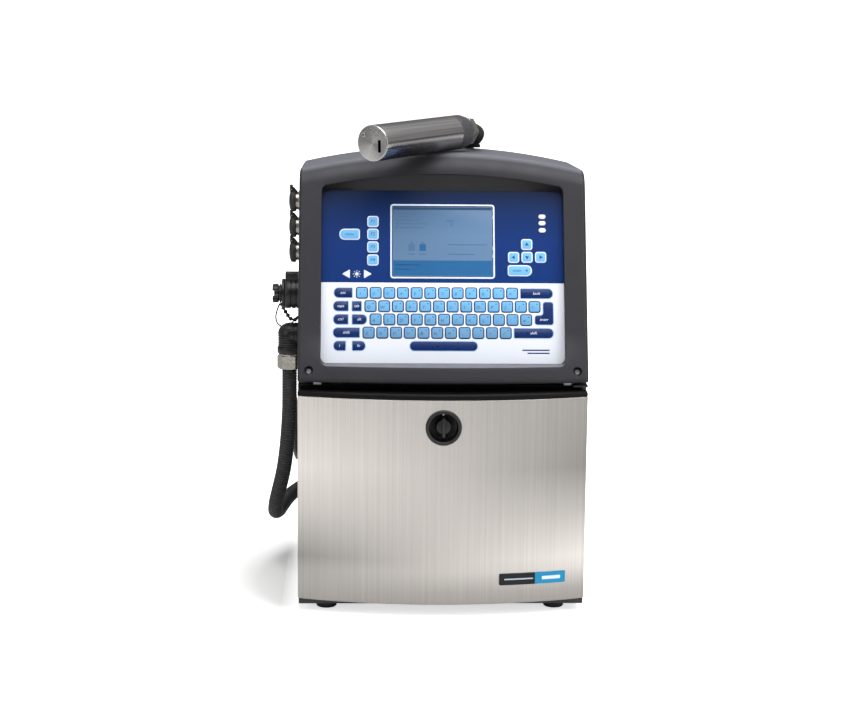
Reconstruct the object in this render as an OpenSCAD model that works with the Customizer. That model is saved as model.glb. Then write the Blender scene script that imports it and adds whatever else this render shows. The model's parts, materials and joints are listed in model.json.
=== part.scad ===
// Date code inkjet printer: a steel ink cabinet with a bowed door, a hinged console hood on top,
// a printhead parked on the hood and an umbilical that joins it to the cabinet's left side.
// +X is the right-hand side, -Y the front, +Z up. The origin is on the floor below the cabinet's middle.

/* [Cabinet] */
// Width of the cabinet, the door and the hood
body_w = 336; // [332:1:340]
// Height of the feet
foot_h = 9.5; // [8:0.5:9.5]
// Diameter of the feet
foot_d = 24; // [20:0.5:24]
// Front edge of the steel shell, forward of the middle
shell_front = 116; // [115.5:0.1:116]
// Rear wall of the steel shell, behind the middle
shell_rear = 122; // [121.5:0.1:122]
// Thickness of the folded steel
sheet = 1.5; // [1:0.1:1.6]
// Top of the divider shelf above the floor
shelf_z = 266; // [265.8:0.1:266]
// Distance of the feet and their bolt holes from the middle, along X
foot_x = 134.9; // [131:0.1:136]
// Distance of the feet and their bolt holes from the middle, along Y
foot_y = 110; // [108:0.5:110]
// Radius of the bolt holes through the feet and the base pan
bolt_r = 3.3; // [2.7:0.1:3.3]

/* [Door] */
// Underside of the steel door above the floor
door_bottom = 15.6; // [15.4:0.1:16]
// Top of the steel door above the floor
door_top = 257.5; // [257:0.1:258]
// Forward position of the door's side edges
door_edge = 134.4; // [134:0.1:136]
// How far the door bows forward in its middle
door_bow = 26.7; // [24:0.1:28]
// Height of the latch above the floor
latch_z = 225.8; // [224:0.1:227]
// Diameter of the latch cup
cup_d = 41.7; // [40:0.1:42]

/* [Hood] */
// Crest of the hood above the floor
hood_top = 531; // [529:0.5:532]
// Slope of the console face, back from vertical
face_tilt = 20.45; // [20.2:0.05:20.7]
// Height of the console face's lower edge
face_z = 274.1; // [274:0.1:274.3]
// Forward position of the console face's lower edge
face_edge = 140.45; // [140:0.05:141]
// Wall thickness of the hood moulding
wall = 3; // [2.5:0.1:3.2]
// Radius of the arched top, seen from the front
arch_r = 750; // [720:10:780]
// Depth of the keypad's recess below the face
recess = 10.5; // [10:0.1:11]
// Width of the keypad panel
panel_w = 284; // [282:0.5:286]
// Side of a square letter key
key_size = 13.6; // [12.8:0.1:14]
// Distance from one letter key to the next
key_pitch = 15.93; // [15.8:0.01:16]

/* [Printhead] */
// Outside diameter of the printhead's steel cover
head_d = 41.3; // [41:0.1:41.4]
// Length of the steel cover
head_l = 162; // [154:1:166]
// Turn of the parked printhead from straight back towards the right
head_turn = 34.7; // [33:0.1:36]
// Rise of the parked printhead towards its rear
head_rise = 1.7; // [1.6:0.05:1.9]

/* [Left side] */
// Distance of the side fittings behind the middle
fitting_y = 15; // [12:0.5:18]
// Diameter of the socket caps
cap_d = 26.6; // [25:0.1:26.8]
// Diameter of the umbilical
hose_d = 18.6; // [17:0.1:18.6]

/* [Hidden] */
$fn = 64;
big_fn = 360;
eps = 0.5;
fit = 0.05;

half_w = body_w / 2;
inner_w = half_w - sheet;
pan_z = foot_h;
pan_t = 5.5;
shell_z = pan_z + pan_t;
lower_top = shelf_z + 2;
wall_top = 486.4;
side_front = -30;
front_frame = 16;

// The door's hinge stands just inside its right-hand edge
hinge_x = half_w - 5;
hinge_y = -127;
hinge_pin_r = 3;
door_back = -120;
trim_top = 264.8;
door_r = (half_w * half_w + door_bow * door_bow) / (2 * door_bow);
door_nose = -door_edge - door_bow;

// The hood turns about an axis along its rear lower edge
hood_rear = 126;
hood_axis_y = 120;
hood_axis_z = 493;
hood_lip = 490;
skirt_rear = -32;
roll_r = 28;
roll_z = hood_top - roll_r;
roll_y = (roll_r + (roll_z - face_z) * sin(face_tilt)) / cos(face_tilt) - face_edge;
top_fall = 0.8;
ledge_rear = -124;
chin_bow = 14.5;
chin_h = 20;
screw_x = half_w - 13;
screw_s = 14;

// Levels on the console face: s runs up the face, d runs inwards
panel_low = 24.8;
panel_high = 231.8;
panel_t = 2;
panel_r = 7.5;
window_w = 118;
window_low = 128;
window_high = 213;
arch_mid = 248.6;
arch_side = 233.6;
plate_d = recess + panel_t;
key_travel = 0.5;
key_gap = 0.3;

// Rows of keys as [first x, s, number of keys]
number_row = [-94.2, 108.3, 12];
top_row = [-84.2, 92.4, 13];
home_row = [-78.2, 76.7, 12];
bottom_row = [-86.3, 61, 11];
// Single keys as [x, s, width, height]
space_key = [[0.9, 45.4, 78.8, 11.5]];
control_list = [
    [-116, 108.3, 21.5, 12], [109.6, 108.3, 38, 12], [-118.6, 92.4, 17.7, 12], [-100.1, 92.4, 11.3, 12],
    [-118.6, 76.7, 17.4, 12], [-97, 76.7, 17.2, 12], [-112, 61, 31, 12], [105.7, 61, 46, 12],
    [-119.8, 45.4, 14.3, 11.5], [-97.6, 45.4, 15.3, 11.5], [118.1, 76.7, 21.8, 11.5], [122.9, 88, 12.2, 20.8]
];
function_list = [
    [-81.6, 193.9, 12.7, 12.7], [-81.6, 178.6, 12.7, 12.7], [-81.6, 163.2, 12.7, 12.7],
    [-81.6, 147.6, 12.7, 12.7], [-108.9, 178.4, 23.4, 12.7], [-111.4, 130.8, 10.2, 10.6],
    [-88.9, 130.8, 9.7, 10.6]
];
cursor_list = [
    [98.8, 167.2, 12.5, 12.5], [83.2, 151.6, 12.5, 12.5], [99, 151.8, 12.5, 12.5],
    [114.9, 151.9, 12.5, 12.5], [90.3, 135.7, 27.7, 12.6]
];

// Left-side fittings
socket_z = [469, 438, 407.5];
cap_drop = 14.3;
cap_x = -half_w - 12;
network_z = 356;
elbow_z = 306;
elbow_x = -half_w - 15;
elbow_r = 14;
nut_low = 263;
nut_high = 282;
hose_r = hose_d / 2;
cable_r = 4.2;
clip_x = 38;
clip_y = 109;
hose_rest_z = 539;

// The parked printhead, from the middle of its front face
head_r = head_d / 2;
head_front = [-83, -137, 547.8];
cover_screw_x = -11.9;
cover_screw_z = 9.2;
head_skin = 1.2;
deck_plug_r = head_r - head_skin - fit;
collar_l = 28;
head_nut_l = 14;

fan_x = 90;
fan_z = 420;

// ---- shared shapes ----

// Points of an arc in degrees, as [x, y]
function arc(centre, r, from, to, steps) = [
    for (i = [0:steps])
        centre + r * [cos(from + (to - from) * i / steps), sin(from + (to - from) * i / steps)]
];

// A smooth curve through points; the first and last only set its direction
function curve_at(p, i, t) = 0.5 * (
    2 * p[i] + (p[i + 1] - p[i - 1]) * t
    + (2 * p[i - 1] - 5 * p[i] + 4 * p[i + 1] - p[i + 2]) * t * t
    + (3 * p[i] - p[i - 1] - 3 * p[i + 1] + p[i + 2]) * t * t * t
);
function curve(p, steps) = concat(
    [for (i = [1:len(p) - 3], k = [0:steps - 1]) curve_at(p, i, k / steps)],
    [p[len(p) - 2]]
);

function row_keys(row) = [for (i = [0:row[2] - 1]) [row[0] + key_pitch * i, row[1], key_size, key_size]];

// Forward position of the console face at a height, for a surface t inside it
function face_at(z, t) = (t + (z - face_z) * sin(face_tilt)) / cos(face_tilt) - face_edge;
// Height of the hood's top at a depth, for a surface t inside it
function top_at(y, t) = roll_z + (roll_r - t) / cos(top_fall) - (y - roll_y) * tan(top_fall);

// A box from its low corner to its high corner
module span(low, high) {
    translate(low) cube(high - low);
}

module x_rod(r, length) {
    rotate([0, 90, 0]) cylinder(h = length, r = r);
}

module y_rod(r, length) {
    rotate([-90, 0, 0]) cylinder(h = length, r = r);
}

// Extrudes a side view, drawn as [y, z], across the width
module across_x(width) {
    rotate([90, 0, 90]) translate([0, 0, -width / 2]) linear_extrude(width) children();
}

// Draws in the console face's frame: X right, Y up the face, Z outwards
module on_face() {
    translate([0, -face_edge, face_z]) rotate([90 - face_tilt, 0, 0]) children();
}

// Draws in the printhead's frame: its axis is +Y, from the front face to the rear
module at_printhead() {
    translate(head_front) rotate([0, 0, -head_turn]) rotate([head_rise, 0, 0]) children();
}

module bent_tube(points, r) {
    for (i = [0:len(points) - 2])
        hull() {
            translate(points[i]) sphere(r = r, $fn = 16);
            translate(points[i + 1]) sphere(r = r, $fn = 16);
        }
}

module rounded_plate(w, low, high, r, t) {
    linear_extrude(t) union() {
        translate([-w / 2 + r, low]) square([w - 2 * r, high - low]);
        translate([-w / 2, low + r]) square([w, high - low - 2 * r]);
        for (x = [-w / 2 + r, w / 2 - r], y = [low + r, high - r])
            translate([x, y]) circle(r = r);
    }
}

// Plan of the door, t inside its outer surface
module door_plan(t) {
    intersection() {
        translate([0, door_nose + door_r]) circle(r = door_r - t, $fn = big_fn);
        translate([-half_w + t, door_nose - 1]) square([2 * (half_w - t), door_back - door_nose + 1]);
    }
}

// ---- cabinet ----

module cabinet_shell() {
    color("gainsboro") difference() {
        union() {
            span([-half_w, -shell_front, shell_z], [half_w, shell_rear, lower_top]);
            span([-half_w, side_front, lower_top - eps], [half_w, shell_rear, wall_top]);
            for (side = [-1, 1]) translate([side * 141.5, 0, 0]) hinge_ear();
        }
        // inside of the lower and upper compartments
        span([-inner_w, sheet - shell_front, shell_z - 1], [inner_w, shell_rear - sheet, lower_top + 1]);
        span([-inner_w, side_front - 1, lower_top - 1], [inner_w, shell_rear - sheet, wall_top + 1]);
        // door opening, with a frame left for the seal
        span([front_frame - half_w, -shell_front - 1, shell_z + 14], [half_w - front_frame, 0, 252]);
        // opening behind the rear cover
        span([-140, shell_rear - sheet - 1, 40], [140, shell_rear + 1, 465]);
        side_holes();
        for (x = [-150, 150], z = [50, 250, 450])
            translate([x, shell_rear - 3, z]) y_rod(1.5, 5);
        translate([-150, hood_axis_y, hood_axis_z]) x_rod(hinge_pin_r, 300);
    }
}

// An ear that carries one hood hinge pin
module hinge_ear() {
    span([-2.5, shell_rear - 6, wall_top - 12], [2.5, shell_rear, wall_top]);
    span([-2.5, shell_rear - 6, wall_top - 1], [2.5, hood_axis_y, hood_axis_z]);
    translate([-2.5, hood_axis_y, hood_axis_z]) x_rod(4.8, 5);
}

// Holes in the left wall for the sockets, the umbilical and the power cable
module side_holes() {
    for (z = socket_z) translate([-half_w - 1, fitting_y, z]) x_rod(8, 4);
    translate([-half_w - 1, fitting_y, network_z]) x_rod(13, 4);
    translate([-half_w - 1, fitting_y, elbow_z]) x_rod(9, 4);
    translate([-half_w - 1, 62, 300]) x_rod(7.2, 4);
}

module base_pan() {
    color([0.08, 0.08, 0.09]) difference() {
        span([1 - half_w, -door_edge, pan_z], [half_w - 1, shell_rear, shell_z]);
        for (x = [-foot_x, foot_x], y = [-foot_y, foot_y])
            translate([x, y, pan_z - 1]) cylinder(h = pan_t + 2, r = bolt_r);
    }
}

module feet() {
    color([0.1, 0.1, 0.1]) for (x = [-foot_x, foot_x], y = [-foot_y, foot_y])
        translate([x, y, 0]) difference() {
            union() {
                cylinder(h = foot_h * 0.7, r = foot_d / 2);
                cylinder(h = foot_h, r = foot_d / 2 - 2);
            }
            translate([0, 0, -1]) cylinder(h = foot_h + 2, r = bolt_r);
        }
}

module divider_shelf() {
    color("silver") difference() {
        union() {
            span([-inner_w, sheet - shell_front, shelf_z - 2], [inner_w, shell_rear - sheet, shelf_z]);
            for (side = [0, 1]) mirror([side, 0, 0]) {
                span([141, -114.4, shelf_z - eps], [150, -100, lower_top + 2]);
                span([141, -120, lower_top + 0.2], [150, -100, lower_top + 4]);
                span([147, -120, lower_top + 3], [164, -118, lower_top + 26]);
            }
        }
        for (x = [-screw_x, screw_x]) translate([x, -124, 282.5]) y_rod(6, 10);
        translate([0, 95, shelf_z - 3]) cylinder(h = 4, r = 14);
    }
}

module rear_cover() {
    color("gainsboro") difference() {
        span([-158, shell_rear, 32], [158, shell_rear + 2, 475]);
        for (x = [-150, 150], z = [50, 250, 450])
            translate([x, shell_rear - 1, z]) y_rod(1.6, 4);
        // louvres in front of the fan
        for (k = [-3:3]) {
            slot_half = sqrt(36 * 36 - 100 * k * k);
            span([fan_x - slot_half, shell_rear - 1, fan_z + 10 * k - 2],
                 [fan_x + slot_half, shell_rear + 3, fan_z + 10 * k + 2]);
        }
    }
}

module cabinet_screws() {
    color("silver") for (x = [-150, 150], z = [50, 250, 450])
        translate([x, shell_rear + 2, z]) {
            difference() {
                y_rod(3.2, 2);
                translate([0, 1, 0]) rotate([-90, 0, 0]) cylinder(h = 2, r = 1.5, $fn = 6);
            }
            translate([0, -6, 0]) y_rod(1.45, 6.5);
        }
}

module hood_hinge_pins() {
    color("silver") for (side = [-1, 1])
        translate([side * 149 - 11, hood_axis_y, hood_axis_z]) x_rod(hinge_pin_r, 22);
}

module door_hinge_brackets() {
    color([0.1, 0.1, 0.1]) {
        translate([hinge_x, hinge_y, shell_z]) cylinder(h = 0.3, r = 4.8);
        translate([hinge_x, hinge_y, shell_z]) cylinder(h = 13, r = hinge_pin_r);
        span([hinge_x - 12, hinge_y - 4, lower_top], [half_w, -112, lower_top + 2]);
        translate([hinge_x, hinge_y, door_top - 12]) cylinder(h = lower_top - door_top + 13, r = hinge_pin_r);
    }
}

// ---- ink system ----

module ink_module() {
    color([0.25, 0.26, 0.28]) difference() {
        union() {
            span([-140, -74, 27], [140, 59, 29]);
            span([-124, 58, 27], [124, 116, 29]);
            for (x = [-112, 112], y = [-60, 92]) translate([x, y, shell_z]) cylinder(h = 13, r = 6);
            span([-140, 56, 28], [140, 59, 190]);
            for (x = [-140, -2, 137]) span([x, -74, 28], [x + 4 - (x < 0 ? 0 : 1), 57, 120]);
            span([-140, -74, 40], [140, 57, 42]);
        }
        for (x = [-70, 70]) translate([x, 55, 96]) y_rod(8, 6);
    }
}

// A cartridge in its bay, at x from its middle
module cartridge(x) {
    difference() {
        union() {
            span([x - 60, -70, 42.3], [x + 60, 50, 150]);
            translate([x, 50 - eps, 96]) y_rod(7.9, 12);
            translate([x - 35, -10, 149]) cylinder(h = 10, r = 14);
        }
        span([x - 32, -71, 80], [x + 32, -52, 112]);
    }
}

module ink_cartridge() {
    color([0.1, 0.1, 0.12]) cartridge(-70);
}

module makeup_cartridge() {
    color("whitesmoke") cartridge(70);
}

module pump_motor() {
    color("dimgray") {
        translate([95, 88, 29]) cylinder(h = 40, r = 26);
        translate([95, 88, 68]) cylinder(h = 80, r = 22);
        translate([95, 88, 147]) cylinder(h = 8, r = 6);
    }
}

module ink_filter() {
    color("whitesmoke") {
        translate([-95, 88, 29]) cylinder(h = 14, r = 18);
        translate([-95, 88, 42]) cylinder(h = 90, r = 24);
        translate([-95, 88, 131]) cylinder(h = 12, r = 8);
    }
}

module valve_manifold() {
    color("silver") {
        span([-45, 66, 29], [45, 108, 75]);
        for (x = [-33, -11, 11, 33]) translate([x, 87, 74]) cylinder(h = 36, r = 9);
    }
}

// Tubes rise from the filter and the pump to a manifold pipe that passes the shelf's grommet hole
module ink_tubes() {
    color("lightsteelblue") {
        riser(-95, 143, 195, 3);
        riser(95, 155, 210, 3);
        translate([0, 88, 110]) cylinder(h = 162, r = 6);
    }
}

// A thin tube at x that rises from low to high and turns towards the pipe in the middle
module riser(x, low, high, r) {
    translate([x, 88, low]) cylinder(h = high - low + r + 1, r = r);
    translate([x < 0 ? x : 0, 88, high]) x_rod(r - 0.5, abs(x));
}

// ---- electronics ----

module power_supply() {
    color("silver") difference() {
        span([-150, 20, shelf_z], [-60, 112, 372]);
        for (z = [290:14:350]) span([-140, 19, z], [-70, 22, z + 5]);
    }
}

module main_board() {
    color("darkgreen") {
        span([-30, -20, 276], [150, 76, 277.6]);
        for (x = [-24, 144], y = [-14, 70]) translate([x, y, shelf_z]) cylinder(h = 11, r = 3);
        for (x = [0, 50, 100]) span([x, 0, 277], [x + 30, 30, 281]);
        span([-20, 50, 277], [60, 70, 289]);
    }
}

module fan_frame() {
    color([0.12, 0.12, 0.12]) translate([fan_x, 0, fan_z]) {
        difference() {
            span([-40, 98, -40], [40, shell_rear, 40]);
            translate([0, 97, 0]) y_rod(37.5, 30);
        }
        // rear spider with the rotor's pin
        for (a = [0, 90]) rotate([0, a, 0]) span([-38, 118, -2], [38, 121, 2]);
        translate([0, 118, 0]) y_rod(13, 3);
        translate([0, 101, 0]) y_rod(3, 18);
    }
}

module fan_rotor() {
    color([0.15, 0.15, 0.16]) translate([fan_x, 100, fan_z]) difference() {
        union() {
            y_rod(15, 17);
            for (a = [0:7]) rotate([0, a * 360 / 7, 0])
                translate([13, 8, 0]) rotate([35, 0, 0]) span([0, -9, -0.8], [23, 9, 0.8]);
        }
        translate([0, -1, 0]) y_rod(3 + fit, 20);
    }
}

// ---- left side ----

module side_sockets() {
    color("silver") for (z = socket_z) translate([-half_w, fitting_y, z]) difference() {
        union() {
            translate([-3, 0, 0]) x_rod(12.5, 3);
            translate([-9, 0, 0]) x_rod(11, 8);
            translate([-1, 0, 0]) x_rod(8, 12);
            for (y = [-7, 5]) span([-13.5, y, cap_drop - 8], [-1, y + 2, cap_drop + 2]);
            translate([-12, -7, cap_drop]) y_rod(1, 14);
        }
        translate([-10, 0, 0]) x_rod(6, 8);
    }
}

// A hinged cap over the socket at height z
module socket_cap(z) {
    color([0.1, 0.1, 0.1]) translate([cap_x, fitting_y, z]) difference() {
        union() {
            translate([-2, 0, 0]) x_rod(cap_d / 2, 4);
            translate([0, -4.5, cap_drop]) y_rod(2.2, 9);
            span([-2, -4.5, cap_drop - 4], [2, 4.5, cap_drop]);
        }
        translate([0, -5, cap_drop]) y_rod(1 + fit, 10);
        for (y = [-7.5, 4.6]) span([-1.6, y, cap_drop - 8.4], [3, y + 2.9, cap_drop + 3]);
    }
}

module socket_cap_top() {
    socket_cap(socket_z[0]);
}

module socket_cap_middle() {
    socket_cap(socket_z[1]);
}

module socket_cap_bottom() {
    socket_cap(socket_z[2]);
}

module network_socket() {
    color([0.1, 0.1, 0.1]) translate([-half_w, fitting_y, network_z]) difference() {
        union() {
            translate([-20, 0, 0]) x_rod(18.5, 20);
            translate([-1, 0, 0]) x_rod(13, 10);
            span([-20, -6, 16], [-4, 6, 26.5]);
        }
        translate([-21, 0, 0]) x_rod(12 + fit, 14);
    }
}

module network_cap() {
    color([0.13, 0.13, 0.14]) translate([-half_w - 20.2, fitting_y, network_z]) {
        translate([-1, 0, 0]) x_rod(12, 12);
        translate([-3.4, 0, 0]) x_rod(17.8, 3.4);
        translate([-9, 0, 0]) x_rod(9, 7);
        difference() {
            translate([-15, 0, 0]) x_rod(11.5, 7.6);
            for (a = [0:11]) rotate([15 + a * 30, 0, 0]) translate([-16, 11.9, 0]) x_rod(1.2, 7);
            span([-16, -12, -4.4], [-12.8, 12, 4.4]);
        }
    }
}

// A strap from a loose ring on the cap's neck down to the wall
module cap_tether() {
    color([0.1, 0.1, 0.1]) translate([-half_w - 26.4, fitting_y, network_z]) {
        difference() {
            union() {
                x_rod(11.5, 2);
                span([0, -2.5, -30], [2, 2.5, -10]);
            }
            translate([-1, 0, 0]) x_rod(9.6, 4);
        }
        span([0, -2.5, -30], [26.4, 2.5, -28]);
    }
}

module umbilical_elbow() {
    color([0.08, 0.08, 0.08]) {
        translate([-half_w - 4, fitting_y, elbow_z]) x_rod(18, 4);
        translate([elbow_x, fitting_y, elbow_z]) x_rod(elbow_r, -elbow_x - half_w);
        translate([elbow_x, fitting_y, elbow_z]) sphere(r = elbow_r);
        translate([elbow_x, fitting_y, nut_high]) cylinder(h = elbow_z - nut_high, r = elbow_r);
        translate([-half_w - 1, fitting_y, elbow_z]) x_rod(9, 12);
    }
}

module gland_nut() {
    color("silver") translate([elbow_x, fitting_y, nut_low]) difference() {
        cylinder(h = nut_high - nut_low, r = 15, $fn = 6);
        translate([0, 0, -1]) cylinder(h = nut_high - nut_low + 2, r = hose_r + 0.6);
    }
}

// The umbilical hangs from the elbow, loops behind the cabinet and climbs to the hood's rear edge
module umbilical_hose() {
    color([0.07, 0.07, 0.07]) bent_tube(curve([
        [elbow_x, fitting_y, 320], [elbow_x, fitting_y, 272], [elbow_x, fitting_y, 250],
        [elbow_x - 1, fitting_y + 2, 200], [elbow_x - 7, fitting_y + 10, 140], [-202, 48, 84], [-201, 82, 66],
        [-186, 126, 76], [-150, 150, 100], [-90, 150, 174], [-26, 148, 280], [18, 147, 390],
        [clip_x, 147, 480], [clip_x, 145, 516], [clip_x, 128.5, hose_rest_z], [clip_x, 100, hose_rest_z]
    ], 2), hose_r);
}

// The last length of the umbilical, from the clip to the printhead
module umbilical_lead() {
    color([0.07, 0.07, 0.07]) bent_tube(curve([
        [clip_x, 140, hose_rest_z], [clip_x, 108.5, hose_rest_z], [clip_x, 98, hose_rest_z],
        [43.5, 80, 541.5], [46, 60, 549], [38.6, 38.5, 554.1], [22.3, 15.1, 553.3]
    ], 3), hose_r);
}

module power_gland() {
    color([0.1, 0.1, 0.1]) translate([-half_w, 62, 300]) difference() {
        union() {
            translate([-8, 0, 0]) x_rod(9.5, 8);
            translate([-1, 0, 0]) x_rod(7, 12);
        }
        translate([-9, 0, 0]) x_rod(cable_r + 1, 25);
    }
}

// The mains cable drops beside the umbilical and turns behind the cabinet to its plug on the floor
module power_cable() {
    color([0.06, 0.06, 0.06]) {
        bent_tube(curve([
            [-150, 62, 300], [-166, 62, 300], [-172, 62, 300], [-178, 62, 300], [-187, 62, 290],
            [-185, 62, 262], [-178, 64, 200], [-177, 84, 150], [-177, 112, 132], [-172, 131, 122],
            [-140, 131, 104], [-90, 131, 60], [-60, 136, 20], [-40, 142, 14], [-20, 142, 14], [0, 142, 14]
        ], 2), cable_r);
        span([-22, 130, 0], [16, 154, 27]);
        span([15, 133, 12], [33, 137, 15]);
        span([15, 147, 12], [33, 151, 15]);
    }
}

// ---- door ----

module door_panel() {
    color("gainsboro") difference() {
        union() {
            difference() {
                translate([0, 0, door_bottom]) linear_extrude(door_top - door_bottom) door_plan(0);
                difference() {
                    translate([0, 0, door_bottom + sheet]) linear_extrude(door_top) door_plan(sheet);
                    span([-half_w, door_back - sheet, 0], [half_w, door_back + 1, door_top + 20]);
                }
            }
            for (z = [door_bottom, door_top - 16])
                translate([hinge_x, hinge_y, z]) cylinder(h = 16, r = 4.8);
        }
        for (z = [door_bottom - 1, door_top - 14])
            translate([hinge_x, hinge_y, z]) cylinder(h = 15, r = hinge_pin_r + fit);
        translate([0, door_nose - 1, latch_z]) y_rod(cup_d / 2 + 0.25, 20);
        translate([0, door_back - 5, latch_z]) y_rod(7, 10);
    }
}

module door_trim() {
    color([0.06, 0.06, 0.07]) difference() {
        translate([0, 0, door_top]) linear_extrude(trim_top - door_top) door_plan(0);
        translate([hinge_x, hinge_y, door_top - 1]) cylinder(h = 12, r = hinge_pin_r + 0.5);
    }
}

module door_seal() {
    color([0.05, 0.05, 0.05]) difference() {
        span([8 - half_w, door_back, 21], [half_w - 8, -shell_front - fit, 256]);
        span([15 - half_w, door_back - 1, 28], [half_w - 15, 1 - shell_front, 249]);
    }
}

module badge() {
    color([0.05, 0.3, 0.45]) intersection() {
        translate([0, door_nose + door_r, 38]) difference() {
            cylinder(h = 14, r = door_r + 0.8, $fn = big_fn);
            translate([0, 0, -1]) cylinder(h = 16, r = door_r, $fn = big_fn);
        }
        span([66.4, door_nose - 2, 30], [144.9, -100, 60]);
    }
}

module latch_cup() {
    color([0.05, 0.05, 0.05]) translate([0, door_nose, latch_z]) difference() {
        union() {
            translate([0, -2.2, 0]) y_rod(cup_d / 2, 19);
            translate([0, 2.2, 0]) y_rod(24, 2);
        }
        translate([0, -3, 0]) y_rod(16.5, 14);
        translate([0, 5, 0]) y_rod(5 + fit, 20);
    }
}

module latch_knob() {
    color([0.08, 0.08, 0.08]) translate([0, door_nose, latch_z]) {
        y_rod(8.75, 10.9);
        span([-2, -2, -11.2], [2, 8, 11.2]);
        translate([0, 10, 0]) y_rod(5, -door_nose - 123);
    }
}

// At rest the cam points sideways and the door is free to open
module latch_cam() {
    color("silver") translate([0, -113, latch_z]) {
        y_rod(9, 2.5);
        span([-36, 0, -6], [0, 2.5, 6]);
    }
}

// ---- hood ----

// Side view of the hood, t inside its outer surface, from a front lower corner
module hood_side(t, front_low, rear_low) {
    polygon(concat(
        [[face_at(front_low, t), front_low]],
        arc([roll_y, roll_z], roll_r - t, 180 - face_tilt, 90 - top_fall, 10),
        [[hood_rear - t, top_at(hood_rear - t, t)]],
        rear_low
    ));
}

// The solid inside of the hood's outer surface
module hood_outside() {
    intersection() {
        across_x(body_w)
            hood_side(0, face_z, [[hood_rear, hood_lip], [skirt_rear, hood_lip], [skirt_rear, face_z]]);
        translate([0, -200, hood_top - arch_r])
            rotate([-90, 0, 0]) cylinder(h = 400, r = arch_r, $fn = big_fn);
    }
}

module hood_inside() {
    low = face_z + wall;
    intersection() {
        across_x(body_w - 2 * wall)
            hood_side(wall, low, [[hood_rear - wall, 260], [ledge_rear, 260], [ledge_rear, low]]);
        translate([0, -200, hood_top - arch_r])
            rotate([-90, 0, 0]) cylinder(h = 400, r = arch_r - wall, $fn = big_fn);
    }
}

// The lower front edge swells forward over the door, up to a level ledge below the panel
module chin() {
    swell = chin_bow * cos(face_tilt);
    chin_r = (half_w * half_w + swell * swell) / (2 * swell);
    chin_top = face_z + chin_h;
    intersection() {
        on_face() translate([0, -30, swell - chin_r])
            rotate([-90, 0, 0]) cylinder(h = 80, r = chin_r, $fn = big_fn);
        across_x(body_w) polygon([
            [-face_edge - chin_bow - 1, face_z], [-face_edge - chin_bow - 1, chin_top],
            [face_at(chin_top, wall), chin_top], [face_at(face_z, wall), face_z]
        ]);
    }
}

// The opening in the console face, seen square on, grown by g
module opening_outline(g) {
    rise = arch_mid - arch_side;
    half = panel_w / 2 + g;
    r = (half * half + rise * rise) / (2 * rise);
    intersection() {
        translate([-half, panel_low - 2 - g]) square([2 * half, 300]);
        translate([0, arch_mid + g - r]) circle(r = r, $fn = big_fn);
    }
}

module hood() {
    color([0.2, 0.2, 0.22]) difference() {
        union() {
            difference() {
                union() {
                    hood_outside();
                    chin();
                }
                hood_inside();
            }
            // walls and ledge of the keypad's recess
            intersection() {
                hood_outside();
                on_face() translate([0, 0, -plate_d - 2.5])
                    linear_extrude(plate_d + 3) opening_outline(wall);
            }
            for (x = [-screw_x, screw_x]) on_face()
                translate([x, screw_s, -11]) cylinder(h = 10.5, r = 7);
            // hinge knuckles inside the rear corners
            for (x = [-160, 146]) {
                translate([x, hood_axis_y, hood_axis_z]) x_rod(5, 14);
                span([x, hood_axis_y - 3, hood_axis_z], [x + 14, hood_rear - 1, hood_axis_z + 8]);
            }
        }
        recess_cut();
        for (x = [-screw_x, screw_x]) on_face() translate([x, screw_s, 0]) {
            translate([0, 0, -6]) cylinder(h = 10, r = 5);
            translate([0, 0, -12]) cylinder(h = 10, r = 2 + fit);
        }
        translate([-161, hood_axis_y, hood_axis_z]) x_rod(hinge_pin_r + fit, 322);
        // clearance around the cabinet's hinge ears
        for (side = [-1, 1]) translate([side * 141.5 - 3.2, hood_axis_y, hood_axis_z]) x_rod(5.2, 6.4);
    }
}

// The recess: square down to the panel, with a level ledge below and a sloped ceiling under the arch
module recess_cut() {
    on_face() {
        translate([0, 0, -plate_d]) linear_extrude(30)
            translate([-panel_w / 2, panel_low]) square([panel_w, panel_high - panel_low]);
        translate([0, 0, -plate_d - 3]) linear_extrude(30)
            translate([4 - panel_w / 2, panel_low + 4]) square([panel_w - 8, panel_high - panel_low - 8]);
        // a level ledge in front of the panel
        across_x(panel_w) polygon([
            [panel_low + 5, -recess], [panel_low, -recess],
            [panel_low - 30 * tan(face_tilt), 30 - recess], [panel_low + 5, 30 - recess]
        ]);
        intersection() {
            translate([0, 0, -recess]) linear_extrude(30) opening_outline(0);
            across_x(panel_w) polygon([
                [panel_high - 1, -recess], [panel_high, -recess], [arch_mid + 1, 0.5],
                [arch_mid + 1, 15], [panel_high - 1, 15]
            ]);
        }
    }
}

module keypad_panel() {
    color([0.1, 0.2, 0.5]) on_face() difference() {
        translate([0, 0, -plate_d])
            rounded_plate(panel_w - 0.4, panel_low + 0.2, panel_high - 0.2, panel_r, panel_t);
        for (row = [number_row, top_row, home_row, bottom_row]) key_pads(row_keys(row), key_gap, plate_d + 1, 4);
        for (list = [space_key, control_list, function_list, cursor_list])
            key_pads(list, key_gap, plate_d + 1, 4);
        span([-window_w / 2, window_low, -plate_d - 1], [window_w / 2, window_high, 0]);
        lamp_shapes(0.1, plate_d + 1, 4);
    }
}

// Key pads grown by g, from depth up by a thickness t
module key_pads(list, g, depth, t) {
    for (k = list)
        span([k[0] - k[2] / 2 - g, k[1] - k[3] / 2 - g, -depth],
             [k[0] + k[2] / 2 + g, k[1] + k[3] / 2 + g, t - depth]);
}

// Keys stand a key's travel proud of the panel
module keys(list) {
    on_face() key_pads(list, 0, plate_d - key_travel, panel_t);
}

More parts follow.
